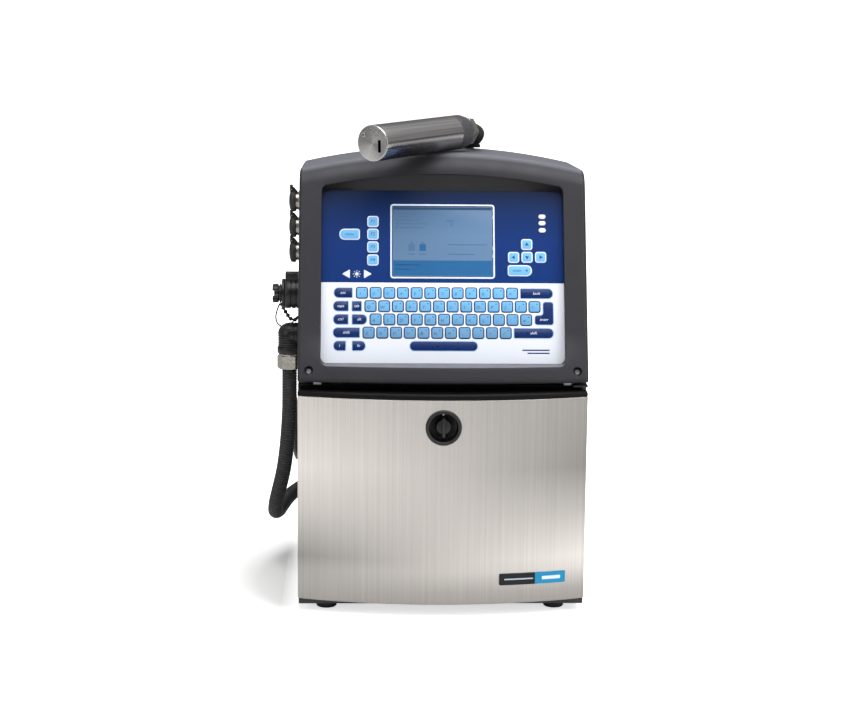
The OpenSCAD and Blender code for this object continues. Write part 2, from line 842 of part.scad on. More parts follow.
// Three oval lamps grown by g
module lamp_shapes(g, depth, t) {
    for (s = [200.9, 193.1, 184.5]) translate([117.2, s, -depth]) linear_extrude(t) {
        square([3.1, 5.3 + 2 * g], center = true);
        for (x = [-1.55, 1.55]) translate([x, 0]) circle(r = 2.65 + g, $fn = 32);
    }
}

module number_keys() {
    color("lightblue") keys(row_keys(number_row));
}

module top_letter_keys() {
    color("lightblue") keys(row_keys(top_row));
}

module home_letter_keys() {
    color("lightblue") keys(row_keys(home_row));
}

module bottom_letter_keys() {
    color("lightblue") keys(row_keys(bottom_row));
}

module space_bar() {
    color([0.1, 0.15, 0.35]) keys(space_key);
}

module control_keys() {
    color([0.1, 0.15, 0.35]) keys(control_list);
}

module function_keys() {
    color("lightblue") keys(function_list);
}

module cursor_keys() {
    color("lightblue") keys(cursor_list);
}

module status_lamps() {
    color("white") on_face() lamp_shapes(0, plate_d, panel_t + 0.4);
}

module keypad_backplate() {
    color("silver") on_face() difference() {
        translate([0, 0, -plate_d - 2.7])
            linear_extrude(2.7) translate([5 - panel_w / 2, panel_low + 5])
            square([panel_w - 10, panel_high - panel_low - 10]);
        // clearance behind the pressed keys
        translate([0, 0, -plate_d - 0.7])
            linear_extrude(1) translate([12 - panel_w / 2, panel_low + 12])
            square([panel_w - 24, panel_high - panel_low - 24]);
        span([-window_w / 2 - 1, window_low - 1, -30], [window_w / 2 + 1, window_high + 1, 0]);
    }
}

module lcd_module() {
    color([0.6, 0.7, 0.8]) on_face()
        span([0.4 - window_w / 2, window_low + 0.4, -recess - 10],
             [window_w / 2 - 0.4, window_high - 0.4, -recess - 0.4]);
}

// A captive quarter-turn screw at x
module hood_screw(x) {
    color("silver") on_face() translate([x, screw_s, 0]) difference() {
        union() {
            translate([0, 0, -6]) cylinder(h = 3, r = 4.5);
            translate([0, 0, -20]) cylinder(h = 15, r = 2);
        }
        translate([0, 0, -4.5]) cylinder(h = 2, r = 2, $fn = 6);
    }
}

module hood_screw_left() {
    hood_screw(-screw_x);
}

module hood_screw_right() {
    hood_screw(screw_x);
}

module hose_clip() {
    color([0.1, 0.1, 0.1]) difference() {
        union() {
            translate([clip_x, clip_y - 6, hose_rest_z]) y_rod(12.5, 12);
            span([clip_x - 15, clip_y - 6, hood_top - 12], [clip_x + 15, clip_y + 6, hose_rest_z - 6]);
        }
        translate([clip_x, clip_y - 7, hose_rest_z]) y_rod(hose_r + 0.8, 14);
        hood_outside();
    }
}

// ---- printhead ----

module printhead_cover() {
    color("silver") at_printhead() difference() {
        y_rod(head_r, head_l);
        translate([0, 2, 0]) y_rod(head_r - head_skin, head_l);
        span([7.7, -1, -10], [11.5, 3, 4]);
        translate([cover_screw_x, -1, cover_screw_z]) y_rod(1.5 + fit, 4);
    }
}

// The deck that carries the nozzle, the charge tunnel and the deflector plates
module printhead_deck() {
    color("gray") at_printhead() {
        translate([0, head_l - 40, 0]) y_rod(deck_plug_r, 40);
        span([-15, 14, -8], [15, head_l - 39, -4]);
        span([-2, 84, -5], [10, 116, 8]);
        span([-1, 66, -5], [9, 78, 5]);
        span([-3, 22, -5], [1, 58, 7]);
        span([7, 22, -5], [11, 58, 7]);
    }
}

module printhead_collar() {
    color([0.16, 0.16, 0.18]) at_printhead() translate([0, head_l, 0]) y_rod(head_r - 0.1, collar_l);
}

module printhead_nut() {
    color("silver") at_printhead() translate([0, head_l + collar_l, 0])
        rotate([-90, 0, 0]) cylinder(h = head_nut_l, r = 17.5, $fn = 6);
}

module cover_screw() {
    color("silver") at_printhead() translate([cover_screw_x, 0, cover_screw_z]) difference() {
        union() {
            translate([0, -0.8, 0]) y_rod(2.6, 0.8);
            translate([0, -0.5, 0]) y_rod(1.5, 9);
        }
        span([-2, -1, -0.3], [2, -0.4, 0.3]);
    }
}

cabinet_shell();
base_pan();
feet();
divider_shelf();
rear_cover();
cabinet_screws();
hood_hinge_pins();
door_hinge_brackets();
ink_module();
ink_cartridge();
makeup_cartridge();
pump_motor();
ink_filter();
valve_manifold();
ink_tubes();
power_supply();
main_board();
fan_frame();
fan_rotor();
power_gland();
power_cable();
side_sockets();
socket_cap_top();
socket_cap_middle();
socket_cap_bottom();
network_socket();
network_cap();
cap_tether();
umbilical_elbow();
gland_nut();
umbilical_hose();
umbilical_lead();
door_panel();
door_trim();
door_seal();
badge();
latch_cup();
latch_knob();
latch_cam();
hood();
keypad_panel();
keypad_backplate();
lcd_module();
status_lamps();
number_keys();
top_letter_keys();
home_letter_keys();
bottom_letter_keys();
space_bar();
control_keys();
function_keys();
cursor_keys();
hood_screw_left();
hood_screw_right();
hose_clip();
printhead_cover();
printhead_deck();
printhead_collar();
printhead_nut();
cover_screw();
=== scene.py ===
# Date code inkjet printer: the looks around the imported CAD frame.
# Metres in the CAD's frame: +X right, -Y front, +Z up.
import json
import math
import bmesh
import bpy
from mathutils import Matrix, Vector
from mathutils.geometry import delaunay_2d_cdt


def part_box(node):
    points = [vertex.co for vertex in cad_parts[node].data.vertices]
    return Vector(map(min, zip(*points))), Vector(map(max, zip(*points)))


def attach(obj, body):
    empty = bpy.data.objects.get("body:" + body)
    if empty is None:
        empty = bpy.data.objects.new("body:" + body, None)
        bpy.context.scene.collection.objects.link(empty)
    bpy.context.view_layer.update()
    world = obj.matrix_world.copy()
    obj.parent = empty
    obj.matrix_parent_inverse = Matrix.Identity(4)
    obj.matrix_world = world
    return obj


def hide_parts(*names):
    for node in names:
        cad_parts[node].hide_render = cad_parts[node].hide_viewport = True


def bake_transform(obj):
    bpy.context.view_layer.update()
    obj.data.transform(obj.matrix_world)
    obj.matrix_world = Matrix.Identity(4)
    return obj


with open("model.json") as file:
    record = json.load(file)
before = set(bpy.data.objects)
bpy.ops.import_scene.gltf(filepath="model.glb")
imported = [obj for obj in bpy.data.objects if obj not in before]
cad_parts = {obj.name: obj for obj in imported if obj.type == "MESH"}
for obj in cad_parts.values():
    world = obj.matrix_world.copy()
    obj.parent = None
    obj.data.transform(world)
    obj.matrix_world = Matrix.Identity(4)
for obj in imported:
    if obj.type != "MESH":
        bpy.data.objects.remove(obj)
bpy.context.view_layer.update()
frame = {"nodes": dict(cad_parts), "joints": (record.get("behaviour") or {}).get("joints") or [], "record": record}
nodes = frame["nodes"]
joints = {j["name"]: j for j in frame["joints"]}
MM = 0.001


# ---- colour and materials ----

def srgb(r, g, b):
    """A linear colour from screen values of 0 to 255."""
    def linear(v):
        v /= 255
        return v / 12.92 if v <= 0.04045 else ((v + 0.055) / 1.055) ** 2.4
    return (linear(r), linear(g), linear(b), 1)


def grey(v):
    return (v, v, v, 1)


def scaled(colour, share):
    return tuple(min(1, c * share) for c in colour[:3]) + (1,)


class Nodes:
    """A node tree under construction."""

    def __init__(self, tree):
        self.tree = tree

    def link(self, value, socket):
        if isinstance(value, bpy.types.NodeSocket):
            self.tree.links.new(value, socket)
        else:
            socket.default_value = value

    def node(self, kind, settings=None, **links):
        made = self.tree.nodes.new(kind)
        for key, value in (settings or {}).items():
            setattr(made, key, value)
        for key, value in links.items():
            self.link(value, made.inputs[key.replace("_", " ")])
        return made

    def filled(self, kind, operation, values):
        made = self.node(kind, {"operation": operation})
        for value, socket in zip(values, made.inputs):
            self.link(value, socket)
        return made.outputs

    def maths(self, operation, *values):
        return self.filled("ShaderNodeMath", operation, values)[0]

    def vector(self, operation, *values):
        """A vector operation; its first output is a vector, its second a number."""
        return self.filled("ShaderNodeVectorMath", operation, values)

    def mixed(self, blend, share, first, second):
        """Two colours mixed by a share."""
        made = self.node("ShaderNodeMix", {"data_type": "RGBA", "blend_type": blend})
        for number, value in ((0, share), (6, first), (7, second)):
            self.link(value, made.inputs[number])
        return made.outputs[2]

    def spread(self, value, low, high, start=0.3, end=0.7):
        """Maps start..end to low..high."""
        return self.node("ShaderNodeMapRange", Value=value, From_Min=start, From_Max=end, To_Min=low,
                         To_Max=high).outputs[0]

    def tint(self, value, stops):
        """Turns a value into a colour, through stops of (place, colour)."""
        made = self.node("ShaderNodeValToRGB", Fac=value)
        ramp = made.color_ramp
        while len(ramp.elements) < len(stops):
            ramp.elements.new(0.5)
        for element, (place, colour) in zip(ramp.elements, stops):
            element.position = place
            element.color = colour
        return made.outputs[0]


class Surface(Nodes):
    """A node material that is built up from noises in object coordinates, in metres."""

    def __init__(self, name, colour, rough, metal=0.0, **inputs):
        self.material = bpy.data.materials.new(name)
        self.material.use_nodes = True
        super().__init__(self.material.node_tree)
        self.shader = self.tree.nodes["Principled BSDF"]
        self.last_bump = None
        inputs.update(Base_Color=colour, Roughness=rough, Metallic=metal)
        for key, value in inputs.items():
            self.give(key.replace("_", " "), value)

    def give(self, key, value):
        self.link(value, self.shader.inputs[key])

    def base_colour(self):
        return self.shader.inputs["Base Color"].links[0].from_socket

    def place(self, stretch=(1, 1, 1)):
        coords = self.node("ShaderNodeTexCoord").outputs["Object"]
        return self.node("ShaderNodeMapping", Vector=coords, Scale=stretch).outputs[0]

    def parts(self):
        """X, Y and Z of the place."""
        return self.node("ShaderNodeSeparateXYZ", Vector=self.place()).outputs

    def noise(self, scale, detail=3.0, stretch=(1, 1, 1)):
        return self.node("ShaderNodeTexNoise", Vector=self.place(stretch), Scale=scale,
                         Detail=detail).outputs[0]

    def near(self, centre, radius, along=None):
        """1 within a radius of a point, or of the line through it along a direction."""
        gap = self.vector("SUBTRACT", self.place(), centre)[0]
        if along:
            gap = self.vector("CROSS_PRODUCT", gap, along)[0]
        edge = 0.2 * MM
        return self.spread(self.vector("LENGTH", gap)[1], 1, 0, radius - edge, radius + edge)

    def blacken(self, mask, black):
        """Paints the surface black where the mask is 1."""
        self.give("Base Color", self.mixed("MIX", mask, self.base_colour(), black))

    def vary(self, colour, amount, scale):
        """Lets the base colour drift darker and lighter by a share of itself."""
        self.give("Base Color", self.tint(self.noise(scale, 4.0), [(0.3, scaled(colour, 1 - amount)),
                                                                   (0.7, scaled(colour, 1 + amount))]))

    def bump(self, value, depth, strength=1.0):
        made = self.node("ShaderNodeBump", Height=value, Distance=depth, Strength=strength)
        if self.last_bump:
            self.tree.links.new(self.last_bump, made.inputs["Normal"])
        self.last_bump = made.outputs[0]
        self.give("Normal", self.last_bump)


# how far the door's painted reflections darken and lighten its colour
SWING_LOW, SWING_HIGH = 0.44, 1.2
BRUSH = (2600, 2600, 6)


def brushed(name, colour, rough=0.3, swing=None):
    """Brushed metal with upright grooves; swing paints the door's broad reflections into its colour, with a darker
    band near its foot.
    """
    s = Surface(name, colour, rough, 1.0, Anisotropic=0.55)
    lines = s.noise(1.0, 3.0, BRUSH)
    both = s.maths("MULTIPLY_ADD", lines, 0.6, s.spread(s.noise(1.0, 2.0, (420, 420, 3)), 0.0, 0.4))
    s.give("Base Color", s.tint(both, [(0.25, scaled(colour, 0.88)), (0.75, scaled(colour, 1.07))]))
    if swing:
        half, low, high = swing
        # painted reflection: the colour swings lighter and darker across the door and down it, and darkens near
        # its foot
        x, _, z = s.parts()
        height = s.spread(z, 0, 1, low, high)
        turn = s.tint(height, [(0.0, grey(0.5)), (0.06, grey(0.45)), (0.22, grey(0.0)), (0.45, grey(0.6)),
                               (0.66, grey(1)), (0.96, grey(0.85))])
        both_ways = s.maths("MULTIPLY", s.spread(x, -1, 1, -half, half), s.spread(turn, -1, 1, 0, 1))
        painted_dark_foot = s.tint(height, [(0.0, grey(0.62)), (0.06, grey(0.72)), (0.16, grey(1))])
        dim = s.mixed("MULTIPLY", 1, s.base_colour(), s.spread(both_ways, SWING_HIGH, SWING_LOW, -1, 1))
        s.give("Base Color", s.mixed("MULTIPLY", 1, dim, painted_dark_foot))
    s.give("Roughness", s.spread(both, rough - 0.05, rough + 0.11, 0.2, 0.8))
    s.give("Tangent", s.node("ShaderNodeTangent", {"direction_type": "RADIAL", "axis": "Z"}).outputs[0])
    s.bump(lines, 0.00002, 0.16)
    return s.material


def worn(s, colour, drift, gloss, grain):
    """Drifting colour and gloss and a fine grain, as all the unbrushed surfaces have them."""
    s.vary(colour, *drift)
    scale, detail, less, more = gloss
    rough = s.shader.inputs["Roughness"].default_value
    s.give("Roughness", s.spread(s.noise(scale, detail), rough - less, rough + more))
    scale, detail, depth, strength = grain
    s.bump(s.noise(scale, detail), depth, strength)
    return s


def moulded_surface(name, colour, rough, grain=1400, depth=0.00006, strength=0.25, **inputs):
    return worn(Surface(name, colour, rough, **inputs), colour, (0.08, 25), (60, 4.0, 0.05, 0.07),
                (grain, 2.0, depth, strength))


def moulded(*args, **inputs):
    """Moulded plastic or paint: a fine grain, drifting gloss and a little dust."""
    return moulded_surface(*args, **inputs).material


def rubbery(name, colour, rough):
    return worn(Surface(name, colour, rough), colour, (0.25, 120), (90, 4.0, 0.08, 0.1),
                (900, 3.0, 0.00008, 0.3)).material


def plated(name, colour, rough):
    """Nickel, zinc or cast metal: faint stains, light scratches and uneven gloss."""
    return worn(Surface(name, colour, rough, 1.0), colour, (0.12, 70), (300, 4.0, 0.06, 0.12),
                (1200, 3.0, 0.00003, 0.2)).material


def printed(name, colour, rough=0.32):
    """Printed film: flat ink under a satin coat, with a faint orange-peel texture."""
    return worn(Surface(name, colour, rough, Specular_IOR_Level=0.25), colour, (0.03, 40),
                (200, 3.0, 0.04, 0.05), (2500, 2.0, 0.00002, 0.12)).material


# ---- mesh building ----

def circle(r, steps, x=0.0, y=0.0):
    """Points of (x, y) round a circle."""
    turns = [2 * math.pi * k / steps for k in range(steps)]
    return [(x + r * math.cos(a), y + r * math.sin(a)) for a in turns]


def mm(points):
    """Points in millimetres as points in metres."""
    return [tuple(v * MM for v in p) for p in points]


def rounded(points, radii, steps=4, closed=True):
    """A 2-D outline with its corners rounded; radii is one number or one per corner."""
    out = []
    count = len(points)
    for i, corner in enumerate(points):
        r = radii[i] if isinstance(radii, (list, tuple)) else radii
        corner = Vector(corner[:2])
        if r <= 0 or (not closed and i in (0, count - 1)):
            out.append(tuple(corner))
            continue
        a = (Vector(points[i - 1][:2]) - corner).normalized()
        b = (Vector(points[(i + 1) % count][:2]) - corner).normalized()
        half = math.acos(max(-1, min(1, a.dot(b)))) / 2
        if half > math.radians(89.5):
            out.append(tuple(corner))
            continue
        centre = corner + (a + b).normalized() * (r / math.sin(half))
        first = corner + a * (r / math.tan(half)) - centre
        last = corner + b * (r / math.tan(half)) - centre
        start = math.atan2(first.y, first.x)
        turn = math.atan2(first.x * last.y - first.y * last.x, first.dot(last))
        for k in range(steps + 1):
            angle = start + turn * k / steps
            out.append((centre.x + r * math.cos(angle), centre.y + r * math.sin(angle)))
    return out


def oblong(x0, x1, y0, y1, r=0.0, steps=4):
    """A rectangle's outline, with rounded corners where r isn't 0; r may be one number per corner."""
    corners = [(x0, y0), (x1, y0), (x1, y1), (x0, y1)]
    return rounded(corners, r, steps) if r else corners


def smooth_path(points, step):
    """A smooth curve through points, in even steps; the first and last only set its direction."""
    p = [Vector(q) for q in points]
    fine = []
    for i in range(1, len(p) - 2):
        for k in range(40):
            t = k / 40
            fine.append(0.5 * (2 * p[i] + (p[i + 1] - p[i - 1]) * t
                               + (2 * p[i - 1] - 5 * p[i] + 4 * p[i + 1] - p[i + 2]) * t * t
                               + (3 * p[i] - p[i - 1] - 3 * p[i + 1] + p[i + 2]) * t ** 3))
    fine.append(p[-2])
    return even_path(fine, step)


def even_path(fine, step):
    total = sum((b - a).length for a, b in zip(fine, fine[1:]))
    count = max(2, round(total / step))
    out, walked, goal = [fine[0]], 0.0, total / count
    for a, b in zip(fine, fine[1:]):
        length = (b - a).length
        while walked + length >= goal * len(out) - 1e-9 and len(out) < count:
            out.append(a.lerp(b, (goal * len(out) - walked) / length))
        walked += length
    out.append(fine[-1])
    return out


def axis_matrix(origin, direction, side=None):
    """A frame whose Z runs along a direction and whose X leans towards side."""
    z = Vector(direction).normalized()
    x = Vector(side) if side else Vector((1, 0, 0)) if abs(z.x) < 0.9 else Vector((0, 1, 0))
    x = (x - z * x.dot(z)).normalized()
    y = z.cross(x)
    m = Matrix((x, y, z)).transposed().to_4x4()
    m.translation = Vector(origin)
    return m


class Form:
    """A mesh under construction. Every face remembers which of the piece's materials it takes."""

    def __init__(self, place=Matrix.Identity(4)):
        self.place = place
        self.points = []
        self.faces = []
        self.paints = []

    def loop(self, points):
        first = len(self.points)
        self.points += [self.place @ Vector(p) for p in points]
        return list(range(first, len(self.points)))

    def level(self, outline, height):
        """A loop from an outline of (x, y) at a height."""
        return self.loop([(x, y, height) for x, y in outline])

    def face(self, loop, paint=0):
        self.faces.append(tuple(loop))
        self.paints.append(paint)

    def bridge(self, a, b, paint=0, closed=True):
        count = len(a)
        for i in range(count if closed else count - 1):
            j = (i + 1) % count
            self.face((a[i], a[j], b[j], b[i]), paint)

    def rows(self, rows, paint=0, closed=True):
        for a, b in zip(rows, rows[1:]):
            self.bridge(a, b, paint, closed)

    def capped(self, rows, paint=0):
        """Rows of loops, closed by a face at both ends."""
        self.rows(rows, paint)
        self.face(rows[0], paint)
        self.face(rows[-1], paint)

    def turned(self, profile, steps=48, paint=0):
        """Turns a profile of (radius, height) in millimetres about the Z axis, closed at both ends."""
        rings = [self.level(circle(r * MM, steps) if r else [(0, 0)], h * MM) for r, h in profile]
        for a, b in zip(rings, rings[1:]):
            if len(a) == len(b):
                if len(a) > 1:
                    self.bridge(a, b, paint)
                continue
            tip, ring = (a[0], b) if len(a) == 1 else (b[0], a)
            for i in range(steps):
                self.face((ring[i], ring[(i + 1) % steps], tip), paint)
        for ring in (rings[0], rings[-1]):
            if len(ring) > 1:
                self.face(ring, paint)

    def ring(self, profile, steps=48, paint=0):
        """Turns a closed profile in millimetres about the Z axis, so that it leaves a hole."""
        rings = [self.level(circle(r * MM, steps), h * MM) for r, h in profile]
        self.rows(rings + rings[:1], paint)

    def slab(self, outline, low, high, paint=0, bevel=0.0):
        """A plate with an outline of (x, y) between two heights, with its upper edge bevelled."""
        rims = [self.level(outline, low)]
        if bevel:
            for k in range(3):
                angle = math.radians(45 * k)
                inner = inset_outline(outline, bevel * (1 - math.cos(angle)))
                rims.append(self.level(inner, high - bevel + bevel * math.sin(angle)))
        else:
            rims.append(self.level(outline, high))
        self.capped(rims, paint)

    def swept(self, path, radius, steps=24, paint=0):
        """A round tube along a path; radius is a number or a function of the point's number."""
        side = (path[1] - path[0]).normalized().orthogonal().normalized()
        rings = []
        for i, point in enumerate(path):
            ahead = path[min(i + 1, len(path) - 1)] - path[max(i - 1, 0)]
            ahead.normalize()
            side = (side - ahead * side.dot(ahead)).normalized()
            up = ahead.cross(side)
            r = radius(i) if callable(radius) else radius
            rings.append(self.loop([point + side * a + up * b for a, b in circle(r, steps)]))
        self.capped(rings, paint)

    def stamp(self, mesh, matrix, paint=0):
        """Adds a finished mesh, moved by a matrix."""
        points, faces = mesh
        first = len(self.points)
        self.points += [self.place @ (matrix @ Vector(p)) for p in points]
        for f in faces:
            self.face([first + i for i in f], paint)

    def mesh(self, name, sharp=32):
        me = bpy.data.meshes.new(name)
        me.from_pydata(self.points, [], self.faces)
        me.polygons.foreach_set("material_index", self.paints)
        bm = bmesh.new()
        bm.from_mesh(me)
        bmesh.ops.remove_doubles(bm, verts=bm.verts, dist=1e-7)
        if len(bm.faces) > 1:
            bmesh.ops.recalc_face_normals(bm, faces=bm.faces)
        bm.to_mesh(me)
        bm.free()
        me.shade_smooth()
        me.set_sharp_from_angle(angle=math.radians(sharp))
        me.update()
        return me


def inset_outline(outline, amount):
    """An outline moved inwards by an amount, corner by corner."""
    area = sum(a[0] * b[1] - b[0] * a[1] for a, b in zip(outline, outline[1:] + outline[:1]))
    turn = 1 if area > 0 else -1
    out = []
    count = len(outline)
    for i in range(count):
        before, here, after = (Vector(outline[i - 1]), Vector(outline[i]), Vector(outline[(i + 1) % count]))
        a = (here - before).normalized()
        b = (after - here).normalized()
        na = Vector((-a.y, a.x)) * turn
        nb = Vector((-b.y, b.x)) * turn
        middle = na + nb
        if middle.length < 1e-6:
            middle = na
        middle.normalize()
        out.append(tuple(here + middle * (amount / max(0.35, middle.dot(na)))))
    return out


def linked(name, mesh):
    obj = bpy.data.objects.new(name, mesh)
    bpy.context.scene.collection.objects.link(obj)
    return obj


def piece(form, name, body, materials, replaces=(), sharp=32, place=None):
    """Makes a piece that rides on a body; with a place, the form is in that frame and keeps it."""
    mesh = form.mesh(name, sharp) if isinstance(form, Form) else form
    obj = linked(name, mesh)
    for m in materials if isinstance(materials, (list, tuple)) else [materials]:
        mesh.materials.append(m)
    if place:
        obj.matrix_world = place
    if body:
        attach(obj, body)
    if replaces:
        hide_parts(*replaces)
    return obj


def weigh_normals(obj):
    obj.modifiers.new("weighted", "WEIGHTED_NORMAL").keep_sharp = True


def carve(obj, cutter_form, sharp=32):
    """Cuts a closed form, given in the scene's frame, out of a piece and keeps the result as its mesh."""
    cutter = linked("cutter", cutter_form.mesh("cutter"))
    cut = obj.modifiers.new("cut", "BOOLEAN")
    cut.operation = "DIFFERENCE"
    cut.solver = "EXACT"
    cut.object = cutter
    bpy.context.view_layer.update()
    graph = bpy.context.evaluated_depsgraph_get()
    mesh = bpy.data.meshes.new_from_object(obj.evaluated_get(graph))
    obj.modifiers.remove(cut)
    obj.data = mesh
    bpy.data.objects.remove(cutter)
    mesh.shade_smooth()
    mesh.set_sharp_from_angle(angle=math.radians(sharp))


def dress(name, material, width):
    """Gives a CAD node that stays its finish, and softens its edges."""
    obj = nodes[name]
    for s in obj.material_slots:
        s.material = material
    obj.modifiers.new("weld", "WELD").merge_threshold = 1e-6
    flat = obj.modifiers.new("flat", "DECIMATE")
    flat.decimate_type = "DISSOLVE"
    flat.angle_limit = math.radians(0.5)
    soft = obj.modifiers.new("soft", "BEVEL")
    soft.width = width
    soft.segments = 2
    soft.limit_method = "ANGLE"
    soft.angle_limit = math.radians(35)
    soft.harden_normals = True


def triangulated(loops, extra=()):
    """Triangles between outline loops of (x, y): the first is the border, the others are holes."""
    points, edges = [], []
    for outline in loops:
        first = len(points)
        points += [Vector(p) / MM for p in outline]
        edges += [(first + i, first + (i + 1) % len(outline)) for i in range(len(outline))]
    points += [Vector(p) / MM for p in extra]
    found, _, faces, origin, _, _ = delaunay_2d_cdt(points, edges, [], 0, 1e-7)
    found = [p * MM for p in found]

    def inside(p, outline):
        hit = False
        for a, b in zip(outline, outline[1:] + outline[:1]):
            if (a[1] > p[1]) != (b[1] > p[1]):
                if p[0] < a[0] + (p[1] - a[1]) * (b[0] - a[0]) / (b[1] - a[1]):
                    hit = not hit
        return hit

    kept = []
    for f in faces:
        centre = sum((found[i] for i in f), Vector((0, 0))) / len(f)
        if inside(centre, loops[0]) and not any(inside(centre, hole) for hole in loops[1:]):
            kept.append(f)
    where = {}
    for i, originals in enumerate(origin):
        for o in originals:
            where[o] = i
    return found, kept, where


# ---- materials ----

STEEL = srgb(203, 198, 193)
STEEL_LINES = (0.25, srgb(188, 184, 179)), (0.75, srgb(208, 203, 198))
shell_low, shell_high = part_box("cabinet_shell")
door_low, door_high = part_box("door_panel")
steel = brushed("brushed_steel", STEEL, 0.34)
# the door's steel, with painted reflections in its colour
door_steel = brushed("brushed_door", STEEL, 0.34, (door_high.x, door_low.z, door_high.z))


def shell_steel():
    """The cabinet's steel; its front rail, behind the door and under the hood, is painted near black as the shade
    in the gap there.
    """
    s = Surface("brushed_shell", STEEL, 0.34, 1.0, Anisotropic=0.55)
    lines = s.noise(1.0, 3.0, BRUSH)
    front = s.spread(s.parts()[1], 1, 0, shell_low.y + 20 * MM, shell_low.y + 20.2 * MM)
    s.give("Base Color", s.tint(lines, STEEL_LINES))
    # painted shade: the front rail is painted near black and not metallic
    s.blacken(front, srgb(14, 13, 13))
    s.give("Metallic", s.spread(front, 1, 0, 0, 1))
    s.give("Specular IOR Level", 0.2)
    s.give("Roughness", s.spread(lines, 0.3, 0.44, 0.2, 0.8))
    s.bump(lines, 0.00002, 0.16)
    return s.material


def hood_surface():
    """Charcoal plastic with painted light on what faces up and painted shade on what faces down."""
    s = moulded_surface("hood_plastic", srgb(47, 47, 51), 0.46, 1500, 0.00008, 0.35, Specular_IOR_Level=0.22)
    # painted light and shade: the colour follows which way the surface faces
    normal = s.node("ShaderNodeNewGeometry").outputs["Normal"]
    facing = s.node("ShaderNodeSeparateXYZ", Vector=normal).outputs[2]
    painted_light_and_shade = s.tint(s.spread(facing, 0, 1, -1, 1),
                   [(0.2, srgb(22, 22, 24)), (0.5, srgb(38, 38, 41)), (0.66, srgb(43, 43, 47)),
                    (0.9, srgb(60, 60, 65)), (0.97, srgb(106, 107, 114))])
    dust = s.tint(s.noise(25, 4.0), [(0.3, grey(0.92)), (0.7, grey(1))])
    s.give("Base Color", s.mixed("MULTIPLY", 1, painted_light_and_shade, dust))
    return s


charcoal_surface = hood_surface()
charcoal = charcoal_surface.material
black_plastic = moulded("black_plastic", srgb(20, 19, 20), 0.36, Specular_IOR_Level=0.4)
trim_black = moulded("trim_black", srgb(13, 11, 11), 0.45, Specular_IOR_Level=0.12)
black_paint = moulded("black_powder_coat", srgb(28, 28, 30), 0.5, 2200, 0.0001, 0.5)
rubber = rubbery("rubber", srgb(30, 30, 30), 0.62)
jacket = rubbery("cable_jacket", srgb(19, 19, 21), 0.5)
seal_foam = rubbery("seal_foam", srgb(26, 26, 26), 0.85)
nickel = plated("nickel", srgb(156, 152, 144), 0.22)
zinc = plated("zinc_steel", srgb(170, 172, 176), 0.34)
cast = plated("aluminium", srgb(150, 151, 155), 0.42)
grey_plastic = moulded("grey_plastic", srgb(88, 90, 94), 0.48)
dark_grey = moulded("collar_plastic", srgb(64, 64, 68), 0.4)
white_plastic = moulded("white_plastic", srgb(214, 214, 208), 0.4)
motor_paint = moulded("motor_paint", srgb(92, 96, 102), 0.45, 600, 0.0001, 0.4)
tube_clear = moulded("clear_tube", srgb(150, 165, 178), 0.18)
board_green = moulded("circuit_board", srgb(26, 92, 58), 0.35, 500, 0.0001, 0.6)
key_navy = printed("key_navy", srgb(14, 40, 92), 0.3)
key_halo = printed("key_halo", srgb(150, 180, 226), 0.35)
white_ink = printed("white_ink", srgb(214, 222, 236), 0.4)
navy_ink = printed("navy_ink", srgb(44, 72, 124), 0.4)
badge_black = printed("badge_black", srgb(14, 17, 22), 0.2)
badge_blue = printed("badge_blue", srgb(22, 132, 176), 0.2)
badge_grey = printed("badge_grey", srgb(176, 184, 194), 0.3)


def polished_steel():
    """The printhead cover: bright steel with fine lines along it, spun on its end."""
    s = Surface("polished_steel", srgb(196, 194, 194), 0.17, 1.0, Anisotropic=0.4)
    lines = s.noise(1.0, 3.0, (500, 500, 6))
    s.give("Base Color", s.tint(lines, [(0.3, srgb(176, 174, 174)), (0.7, srgb(214, 212, 210))]))
    # painted reflections: the tube's side is painted in light and dark bands that darken it downwards; its end
    # stays bright
    x, y, z = s.parts()
    painted_reflection_bands = ((0.0, 0.25), (0.1, 0), (0.24, 0), (0.33, 0.35), (0.42, 0.3), (0.48, 0.78), (0.53, 0),
             (0.64, 0.05), (0.78, 0.55), (0.92, 0.95))
    down = s.tint(s.spread(y, 0, 1, -0.0206, 0.0206), [(place, grey(v)) for place, v in painted_reflection_bands])
    s.blacken(s.maths("MULTIPLY", down, s.spread(z, 0, 0.9, 0.0012, 0.0016)), srgb(34, 31, 33))
    # the end is spun, and its light and dark sectors are painted reflections
    painted_sector_wave = s.maths("SINE", s.maths("MULTIPLY_ADD", s.maths("ARCTAN2", y, x), 2, 0.6))
    on_end = s.spread(z, 1, 0, 0.0008, 0.0014)
    s.blacken(s.maths("MULTIPLY", s.spread(painted_sector_wave, 0, 0.5, -1, 1), on_end), srgb(92, 88, 86))
    s.give("Roughness", s.spread(lines, 0.12, 0.27))
    s.bump(s.noise(1.0, 2.0, (900, 900, 10)), 0.00002, 0.2)
    return s.material


def graded(name, low, high, stops, rough=0.3):
    """A colour that changes with height, from low to high."""
    s = Surface(name, stops[0][1], rough, Specular_IOR_Level=0.2)
    s.bump(s.noise(2500, 2.0), 0.00002, 0.12)
    s.give("Base Color", s.tint(s.spread(s.parts()[2], 0, 1, low, high), stops))
    return s.material


polished = polished_steel()
film_low, film_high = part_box("keypad_panel")
panel_blue = graded("panel_blue_gradient", film_low.z, film_high.z,
                    [(0.45, srgb(6, 45, 106)), (0.7, srgb(12, 46, 108)), (0.86, srgb(10, 40, 90)),
                     (1.0, srgb(8, 25, 54))])
